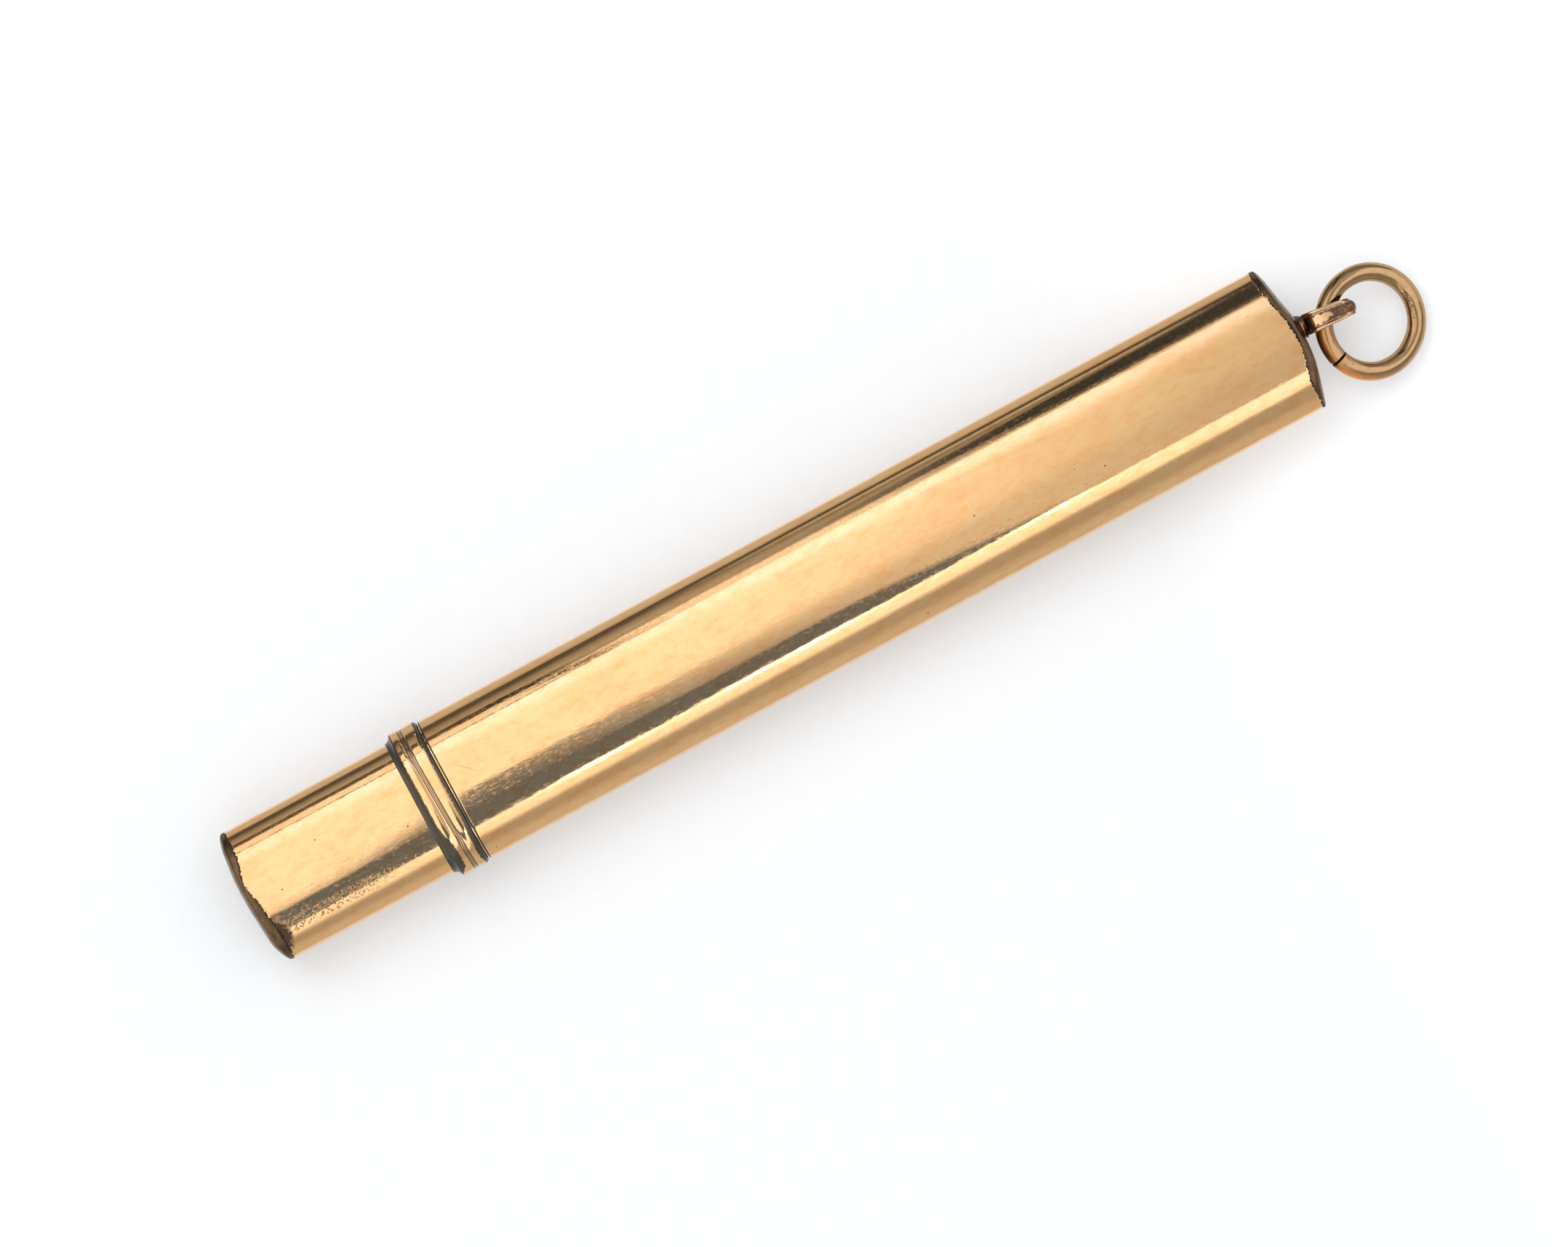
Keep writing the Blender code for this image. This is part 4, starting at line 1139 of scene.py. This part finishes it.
# Eye: a hollowed band, bent a little squarer than a circle
eyeLow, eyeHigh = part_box("eye_loop")
eyeCentre = (eyeLow.x + eyeHigh.x) / 2
eye = {
    "radius": 1.86, "square": 3.2, "twist": 84.5, "steps": 128, "side": 0.12, "halfBand": 0.67,
    "wear": 0.012, "wearSize": 0.8,
    # wider towards the foot, narrower and bulging instead of hollow at the far end
    "flare": 0.10, "flareEnd": (0.0, 1.8), "taper": 0.15, "taperEnd": (0.3, 1.8),
    "blunt": 0.33, "skew": 0.13, "bulge": (0.8, 1.6), "bulgeFrom": 1.6,
    # half of the band's outline, from the side to the middle: place across, radius
    "outer": [
        (0.67, 1.62), (0.67, 1.74), (0.662, 1.79), (0.645, 1.825), (0.62, 1.848), (0.59, 1.858),
        (0.56, 1.86), (0.53, 1.857), (0.50, 1.845), (0.46, 1.82), (0.42, 1.795), (0.36, 1.778),
        (0.30, 1.774), (0.24, 1.771), (0.18, 1.7705), (0.12, 1.77), (0.06, 1.77),
    ],
    "inner": [(0.12, 1.52), (0.30, 1.52), (0.56, 1.524), (0.62, 1.545), (0.65, 1.575)],
    # brown in the hollow but for a torn bright leaf towards the foot, left clean on the top half as a
    # painted highlight, and coppery at the tip; the bore gets painted shade
    "skin": (1.70, 1.76), "hollow": (0.30, 0.50), "tip": (0.9, 1.6), "copper": 0.8, "tipStain": 0.5,
    "stain": 0.58, "moreStain": 0.1, "moreEnd": (-0.5, 0.3), "boreShade": 0.55, "bore": (1.54, 1.66),
    "torn": 0.18, "tornSize": 0.25, "leaf": 0.06, "leafMore": 0.18, "leafEnd": (-0.7, 0.25),
    "leafFade": 0.09, "brightStart": (-0.30, 0.0), "brightEnd": (1.2, 1.45), "brightTop": (0.0, 0.5),
}


def squared(c, s):
    power = eye["square"]
    return (abs(c) ** power + abs(s) ** power) ** (-1 / power)


def eyeMasks(co, across, reach):
    ahead = -co.y / mm  # towards the ring
    skin = smooth(reach, *eye["skin"])
    torn = eye["torn"] * noise.noise(co / (eye["tornSize"] * mm))
    leaf = eye["leaf"] + eye["leafMore"] * gone(ahead, *eye["leafEnd"])
    # the bright leaf: metal left clean of stain, kept to the top half, a painted highlight
    bright = smooth(-ahead + torn, *eye["brightStart"]) * gone(across + torn, leaf, leaf + eye["leafFade"])
    bright *= gone(-ahead, *eye["brightEnd"]) * smooth(co.z / mm, *eye["brightTop"])
    hollow = skin * gone(across, *eye["hollow"]) * (1 - bright)
    tip = smooth(ahead, *eye["tip"])
    brown = (eye["stain"] + eye["moreStain"] * smooth(ahead, *eye["moreEnd"])) * hollow
    return {
        "copper": eye["copper"] * max(hollow, tip), "stain": max(brown, eye["tipStain"] * tip * skin),
        "sootAndShade": eye["boreShade"] * gone(reach, *eye["bore"]),
    }


def makeEyeBand():
    outer, inner = eye["outer"], eye["inner"]
    line = outer + [(-a, r) for a, r in reversed(outer)] + [(-a, r) for a, r in reversed(inner)] + inner
    bm = lathe([(a * mm, r * mm) for a, r in line], eye["steps"])
    layers = {key: bm.verts.layers.float.new(key) for key in ("sootAndShade", "stain", "copper")}
    for vert in bm.verts:
        across = abs(vert.co.x) / mm
        reach = math.hypot(vert.co.y, vert.co.z) / mm
        stretch = squared(vert.co.y / mm / reach, vert.co.z / mm / reach)
        full = smooth(-vert.co.y * stretch / mm, *eye["bulge"]) if reach > eye["bulgeFrom"] else 0.0
        blunt = eye["blunt"] + eye["skew"] * vert.co.x / (eye["halfBand"] * mm)
        target = eye["radius"] - blunt * (across / eye["halfBand"]) ** 2
        wear = noise.noise(vert.co / (eye["wearSize"] * mm)) * eye["wear"]
        stretch *= 1 + full * (target / reach - 1) + wear / reach
        vert.co.y *= stretch
        vert.co.z *= stretch
        for key, value in eyeMasks(vert.co, across, reach).items():
            vert[layers[key]] = value
        ahead = -vert.co.y / mm
        flare = eye["flare"] * smooth(-ahead, *eye["flareEnd"])
        vert.co.x *= 1 + flare - eye["taper"] * smooth(ahead, *eye["taperEnd"])
    turn = Matrix.Rotation(math.radians(eye["twist"]), 3, "Z")
    bmesh.ops.rotate(bm, verts=bm.verts[:], cent=(0.0, 0.0, 0.0), matrix=turn)
    bmesh.ops.translate(bm, verts=bm.verts[:], vec=(eyeCentre, eye["side"] * mm, 0.0))
    return makePiece("eyeBand", bm, "sheath", "eye_loop", "wornEyeGold", 50.0)


# Foot: waisted, a little to one side, on a round shank that is riveted behind the dome
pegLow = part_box("eye_peg")[0]
foot = {
    # share of the way from the dome to the band, half width, half height, place across
    "rows": [
        (0.0, 0.92, 1.12, 0.30), (0.05, 0.88, 1.07, 0.32), (0.12, 0.85, 1.02, 0.34),
        (0.24, 0.82, 0.97, 0.35), (0.40, 0.80, 0.95, 0.34), (0.60, 0.79, 0.96, 0.30),
        (0.80, 0.79, 0.99, 0.26), (0.94, 0.785, 1.03, 0.22), (1.0, 0.78, 1.05, 0.20),
    ],
    # place from the back, radius
    "rivet": [(0.35, 0.45), (0.32, 0.66), (0.24, 0.77), (0.12, 0.80), (0.02, 0.79), (0.0, 0.76)],
    "shank": 0.50, "steps": 72, "shankEnd": 0.02, "gap": 0.004, "pole": 0.6, "poleLift": 0.01,
    # darkened low by the dome and on one side, a painted shade
    "copper": 0.9, "stain": 0.42, "sootAndShade": 0.75, "shadeReach": (0.0, 0.12), "shadeSide": (0.5, 0.9),
}


def domeTop(y, z):
    # where the sheath's dome is, for the foot to sit on
    size = math.hypot(y / halfOf(ends["sheath"]), z / (section["halfHeight"] * mm))
    return plateAt(ends["sheath"], y, size)


def saddle(y, z):
    # outside of the band, seen from the foot
    turn = math.radians(eye["twist"])
    power = eye["square"]
    depth = (1 - (abs(z) / (eye["radius"] * mm)) ** power) ** (1 / power)
    depth *= (eye["radius"] + foot["gap"]) * mm
    return eyeCentre + (math.cos(turn) * (y - eye["side"] * mm) - depth) / math.sin(turn)


def makeEyeFoot():
    bm = bmesh.new()
    start, radius = foot["rivet"][0]
    backX = pegLow.x + start * mm
    turn = Matrix.Rotation(math.radians(90.0), 4, "Y")
    made = bmesh.ops.create_circle(bm, segments=foot["steps"], radius=radius * mm, matrix=turn)
    for vert in made["verts"]:
        vert.co.x = pegLow.x
    rim = bm.edges[:]

    def ringAt(x, radius):
        def place(co):
            way = Vector((0.0, co.y, co.z)).normalized() * radius * mm
            return Vector((x, way.y, way.z))
        return place

    footX = domeTop(0.0, 0.0)
    edges = rim
    for back, radius in foot["rivet"][1:] + [(0.0, foot["shank"])]:
        edges = extrudeLoop(bm, edges, ringAt(backX - back * mm, radius))
    edges = extrudeLoop(bm, edges, ringAt(footX - foot["shankEnd"] * mm, foot["shank"]))

    def onFoot(now, before):
        share, halfWide, halfHigh, side = now

        def place(co):
            way = Vector(((co.y / mm - before[3]) / before[1], co.z / mm / before[2])).normalized()
            y = (side + way.x * halfWide) * mm
            z = way.y * halfHigh * mm
            low = domeTop(y, z) + foot["gap"] * mm
            return Vector((low + (saddle(y, z) - low) * share, y, z))
        return place

    before = (0.0, 1.0, 1.0, 0.0)  # the round shank stands in the middle of the dome, the foot beside it
    for now in foot["rows"]:
        edges = extrudeLoop(bm, edges, onFoot(now, before))
        before = now
    middle = before[3] * mm
    lift = foot["poleLift"] * mm

    def inwards(co):
        y = middle + (co.y - middle) * foot["pole"]
        z = co.z * foot["pole"]
        return Vector((saddle(y, z) + lift, y, z))

    edges = extrudeLoop(bm, edges, inwards)
    closePole(bm, edges, Vector((saddle(middle, 0.0) + lift, middle, 0.0)))
    closePole(bm, rim, Vector((pegLow.x - lift, 0.0, 0.0)))

    # painted shade low by the dome and on one side
    def footShade(co):
        low = gone((co.x - footX) / mm, *foot["shadeReach"])
        return foot["sootAndShade"] * max(low, smooth(co.y / mm, *foot["shadeSide"]))

    paint(bm, "copper", lambda co: foot["copper"])
    paint(bm, "sootAndShade", footShade)
    paint(bm, "stain", lambda co: foot["stain"])
    return makePiece("eyeFoot", bm, "sheath", "eye_peg", "wornEyeGold", 45.0)


# Jump ring: round wire, nearly closed, cut square at the split
ring = {
    "radius": 3.33, "wire": 0.643, "wireSteps": 36, "steps": 192, "split": 0.12, "splitAt": 234.0,
    "heading": -35.0, "shift": -0.325, "side": 0.25, "tableGap": 0.01, "cutEdge": 0.05,
    "wear": 0.014, "wearSize": 1.1, "fineWear": 0.004, "fineSize": 0.35, "thinned": 0.006,
    # coppery outside about the split, brightened there as a painted reflection; painted shade inside and at
    # the cut
    "copper": 0.9, "copperEnd": (25.0, 75.0), "outside": (0.2, 0.7),
    "boreShade": 0.25, "bore": (0.75, 0.98), "cutShade": 0.8, "cutEnd": (1.0, 2.2),
    # a row of worn specks inside, on the far side
    "rowAt": 32.0, "rowEnd": (14.0, 30.0), "worn": 0.9, "wornStart": (0.25, 0.5), "wornEnd": (0.75, 0.9),
    "stain": 0.3, "stainStart": (0.1, 0.6),
}


def turnFrom(angle, place):
    return abs((angle - place + 180.0) % 360.0 - 180.0)


def makeJumpRing():
    bm = bmesh.new()
    radius = ring["radius"] * mm
    gap = ring["split"] / ring["radius"]
    made = bmesh.ops.create_circle(bm, segments=ring["wireSteps"], radius=ring["wire"] * mm,
                                   matrix=Matrix.Rotation(math.radians(90.0), 4, "X"))
    bmesh.ops.translate(bm, verts=made["verts"], vec=(radius, 0.0, 0.0))
    turn = Matrix.Rotation(math.radians(ring["splitAt"]) + gap / 2, 3, "Z")
    bmesh.ops.rotate(bm, verts=made["verts"], cent=(0.0, 0.0, 0.0), matrix=turn)
    bmesh.ops.spin(bm, geom=bm.verts[:] + bm.edges[:], cent=(0.0, 0.0, 0.0), axis=(0.0, 0.0, 1.0),
                   angle=2 * math.pi - gap, steps=ring["steps"])
    cuts = [edge for edge in bm.edges if edge.is_boundary]
    bmesh.ops.holes_fill(bm, edges=cuts, sides=0)
    bmesh.ops.recalc_face_normals(bm, faces=bm.faces[:])
    bmesh.ops.bevel(bm, geom=cuts, offset=ring["cutEdge"] * mm, offset_type="OFFSET", segments=3,
                    profile=0.5, affect="EDGES", material=-1)
    layers = {key: bm.verts.layers.float.new(key) for key in ("sootAndShade", "stain", "copper", "worn")}
    for vert in bm.verts:
        angle = math.degrees(math.atan2(vert.co.y, vert.co.x)) % 360.0
        reach = math.hypot(vert.co.x, vert.co.y)
        middle = Vector((vert.co.x, vert.co.y, 0.0)) * (radius / reach)
        out = vert.co - middle
        inner = (radius - reach) / (ring["wire"] * mm)
        nearSplit = turnFrom(angle, ring["splitAt"])
        # copper and a painted reflection on the outside near the split
        coppery = ring["copper"] * gone(nearSplit, *ring["copperEnd"])
        vert[layers["copper"]] = coppery * smooth(-inner, *ring["outside"])
        # painted shade inside the bore and at the cut ends
        cutShade = ring["cutShade"] * gone(nearSplit, *ring["cutEnd"])
        vert[layers["sootAndShade"]] = max(ring["boreShade"] * smooth(inner, *ring["bore"]), cutShade)
        row = gone(turnFrom(angle, ring["rowAt"]), *ring["rowEnd"])
        worn = smooth(inner, *ring["wornStart"]) * gone(inner, *ring["wornEnd"])
        vert[layers["worn"]] = ring["worn"] * row * worn
        vert[layers["stain"]] = ring["stain"] * row * smooth(inner, *ring["stainStart"])
        wear = noise.noise(vert.co / (ring["wearSize"] * mm)) * ring["wear"]
        wear += noise.noise(vert.co / (ring["fineSize"] * mm)) * ring["fineWear"]
        vert.co += out.normalized() * (wear - ring["thinned"]) * mm
    tilt = math.asin((axisHeight - (ring["wire"] + ring["tableGap"]) * mm) / (2 * radius))
    place = Matrix.Translation((eyeCentre + ring["shift"] * mm, ring["side"] * mm, axisHeight))
    place = place @ Matrix.Rotation(math.radians(ring["heading"]), 4, "Z") @ Matrix.Rotation(tilt, 4, "Y")
    place = place @ Matrix.Translation((radius, 0.0, 0.0))
    bmesh.ops.transform(bm, matrix=place, verts=bm.verts[:])
    return makePiece("jumpRingWire", bm, "jump_ring", "jump_ring", "satinRingGold", 50.0,
                     lift=False)


for build in (makeEyeBand, makeEyeFoot, makeJumpRing):
    piece = build()
    print("made", piece.name, len(piece.data.polygons), "faces")


# Hidden writing end: front plate, casing, nozzle with its milled ring, and the lead
frontPlate = {
    # darkened round the hole, a painted shade
    "inset": 0.65, "edge": 0.06, "hole": 1.71, "sootAndShade": 0.6, "shadeFade": (0.05, 0.3),
    # shares of the edge: back from the face, in from the side
    "bevel": [(1.0, 0.0), (0.3, 0.3), (0.0, 1.0)],
    # round the hole: back from the face, out from the hole
    "seat": [(0.0, 0.16), (0.02, 0.12), (0.02, 0.0)],
}


def makeFrontPlate():
    low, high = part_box("front_plate")
    inset = -frontPlate["inset"] * mm
    edge = frontPlate["edge"] * mm
    hole = frontPlate["hole"]
    bm = bmesh.new()
    half = section["halfWidth"] * mm + inset
    height = section["halfHeight"] * mm + inset

    def onOval(x, offset):
        return lambda co: Vector((x, *ovalAt(co.y, co.z, offset)))

    def onRing(x, radius):
        def place(co):
            way = Vector((co.y / half, co.z / height)).normalized() * radius * mm
            return Vector((x, way.x, way.y))
        return place

    # painted shade round the hole
    def holeShade(co):
        return frontPlate["sootAndShade"] * gone(math.hypot(co.y, co.z) / mm - hole, *frontPlate["shadeFade"])

    edges = ovalLoop(bm, low.x, inset)
    for back, inwards in frontPlate["bevel"]:
        edges = extrudeLoop(bm, edges, onOval(high.x - edge * back, inset - edge * inwards))
    for back, outwards in frontPlate["seat"]:
        edges = extrudeLoop(bm, edges, onRing(high.x - back * mm, hole + outwards))
    edges = extrudeLoop(bm, edges, onRing(low.x, hole))
    extrudeLoop(bm, edges, onOval(low.x, inset))
    paint(bm, "sootAndShade", holeShade)
    return makePiece("frontPlate", bm, "pencil", "front_plate", "rolledGold", 40.0)


# the casing's two ends, each measured from itself: place along, radius
casing = {
    "back": [(0.0, 1.41), (0.0, 1.64), (0.03, 1.68), (0.08, 1.69)],
    "front": [(-0.18, 1.69), (-0.06, 1.675), (0.0, 1.60), (0.0, 1.44), (-0.04, 1.41)], "steps": 72,
}


def makeCasing():
    low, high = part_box("feed_casing")
    points = [(low.x + x * mm, radius * mm) for x, radius in casing["back"]]
    points += [(high.x + x * mm, radius * mm) for x, radius in casing["front"]]
    bm = lathe(points, casing["steps"])
    return makePiece("casingTube", bm, "pencil", "feed_casing", "turnedBrass", 40.0)


# the nozzle's profile is place from its back, radius; two grooves run round it, darkened with painted shade
nozzle = {
    "steps": 80, "grooves": (3.09, 3.47), "sootAndShade": 0.8, "shadeFade": (0.02, 0.06), "outside": 1.0,
    "profile": [
        (0.0, 0.98), (0.0, 1.36), (0.025, 1.41), (0.07, 1.43), (0.30, 1.43), (2.70, 1.43), (3.02, 1.43),
        (3.05, 1.405), (3.09, 1.395), (3.13, 1.405), (3.16, 1.43), (3.40, 1.43), (3.43, 1.405),
        (3.47, 1.395), (3.52, 1.41), (3.60, 1.425), (4.2, 1.345), (5.0, 1.215), (6.0, 1.03), (7.0, 0.835),
        (7.7, 0.705), (8.05, 0.662), (8.2, 0.655), (8.5, 0.652), (10.12, 0.65), (10.17, 0.638),
        (10.2, 0.60), (10.2, 0.52), (10.17, 0.49), (10.1, 0.48), (5.0, 0.48), (5.0, 0.98),
    ],
}


def makeNozzle():
    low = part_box("nozzle")[0]
    bm = lathe([(low.x + x * mm, radius * mm) for x, radius in nozzle["profile"]], nozzle["steps"])

    # painted shade in the two grooves
    def grooveShade(co):
        back = (co.x - low.x) / mm
        near = min(abs(back - groove) for groove in nozzle["grooves"])
        outside = math.hypot(co.y, co.z) > nozzle["outside"] * mm
        return nozzle["sootAndShade"] * gone(near, *nozzle["shadeFade"]) if outside else 0.0

    paint(bm, "sootAndShade", grooveShade)
    return makePiece("nozzleCone", bm, "nozzle", "nozzle", "rolledGold", 40.0)


# the milled ring, from either face inwards: place, depth below the top, depth of the flutes
grip = {
    "side": [(0.0, 0.15, 0.0), (0.05, 0.09, 0.02), (0.15, 0.02, 0.10), (0.23, 0.0, 0.10)],
    "teeth": 24, "toothSteps": 8, "round": 1.4, "hole": 1.45, "sootAndShade": 0.7, "shadeFrom": (0.055, 0.10),
}


def makeGrip():
    low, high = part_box("nozzle_grip")
    top = high.z - axisHeight
    hole = grip["hole"] * mm
    bm = bmesh.new()
    turn = Matrix.Rotation(math.radians(90.0), 4, "Y")
    bmesh.ops.create_circle(bm, segments=grip["teeth"] * grip["toothSteps"], radius=hole, matrix=turn)
    for vert in bm.verts:
        vert.co.x = low.x

    def toothed(x, radius, depth):
        def place(co):
            angle = math.atan2(co.y, co.z)
            flute = (0.5 - 0.5 * math.cos(angle * grip["teeth"])) ** grip["round"]
            reach = radius - depth * flute
            return Vector((x, reach * math.sin(angle), reach * math.cos(angle)))
        return place

    # darker down into the flutes, a painted shade
    def fluteShade(co):
        return grip["sootAndShade"] * smooth((top - math.hypot(co.y, co.z)) / mm, *grip["shadeFrom"])

    edges = bm.edges[:]
    loops = [(low.x + x * mm, top - below * mm, cut * mm) for x, below, cut in grip["side"]]
    loops += [(high.x - x * mm, top - below * mm, cut * mm) for x, below, cut in reversed(grip["side"])]
    for x, radius, cut in loops + [(high.x, hole, 0.0), (low.x, hole, 0.0)]:
        edges = extrudeLoop(bm, edges, toothed(x, radius, cut))
    paint(bm, "sootAndShade", fluteShade)
    return makePiece("milledRing", bm, "nozzle", "nozzle_grip", "rolledGold", 40.0)


# the lead's profile is place from its tip, radius; its point is worn by writing
lead = {
    "steps": 48, "point": 0.6, "worn": 0.04,
    "profile": [
        (-26.65, 0.0), (-26.65, 0.40), (-26.6, 0.45), (-0.78, 0.45), (-0.70, 0.445), (-0.60, 0.415),
        (-0.10, 0.19), (-0.04, 0.15), (-0.01, 0.09), (0.0, 0.0),
    ],
}


def makeLead():
    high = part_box("lead")[1]
    points = [(high.x + x * mm, radius * mm) for x, radius in lead["profile"]]
    bm = lathe(points, lead["steps"], closed=False)
    for vert in bm.verts:
        vert.co.z -= lead["worn"] * mm * smooth((vert.co.x - high.x) / mm, -lead["point"], 0.0)
    return makePiece("leadRod", bm, "lead_carrier", "lead", "pencilLead", 40.0)


for build in (makeFrontPlate, makeCasing, makeNozzle, makeGrip, makeLead):
    piece = build()
    print("made", piece.name, len(piece.data.polygons), "faces")


# The rest of the feed stays as it is and takes its finish
inside = {
    "turnedBrass": ("rear_plate", "front_bush", "rear_bush", "slotted_tube", "tail_washer", "lead_carrier"),
    "drawnSteel": ("feed_helix", "carrier_pin"),
}
for finish, nodes in inside.items():
    for node in nodes:
        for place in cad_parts[node].material_slots:
            place.material = metals[finish]
print("inner pieces finished")
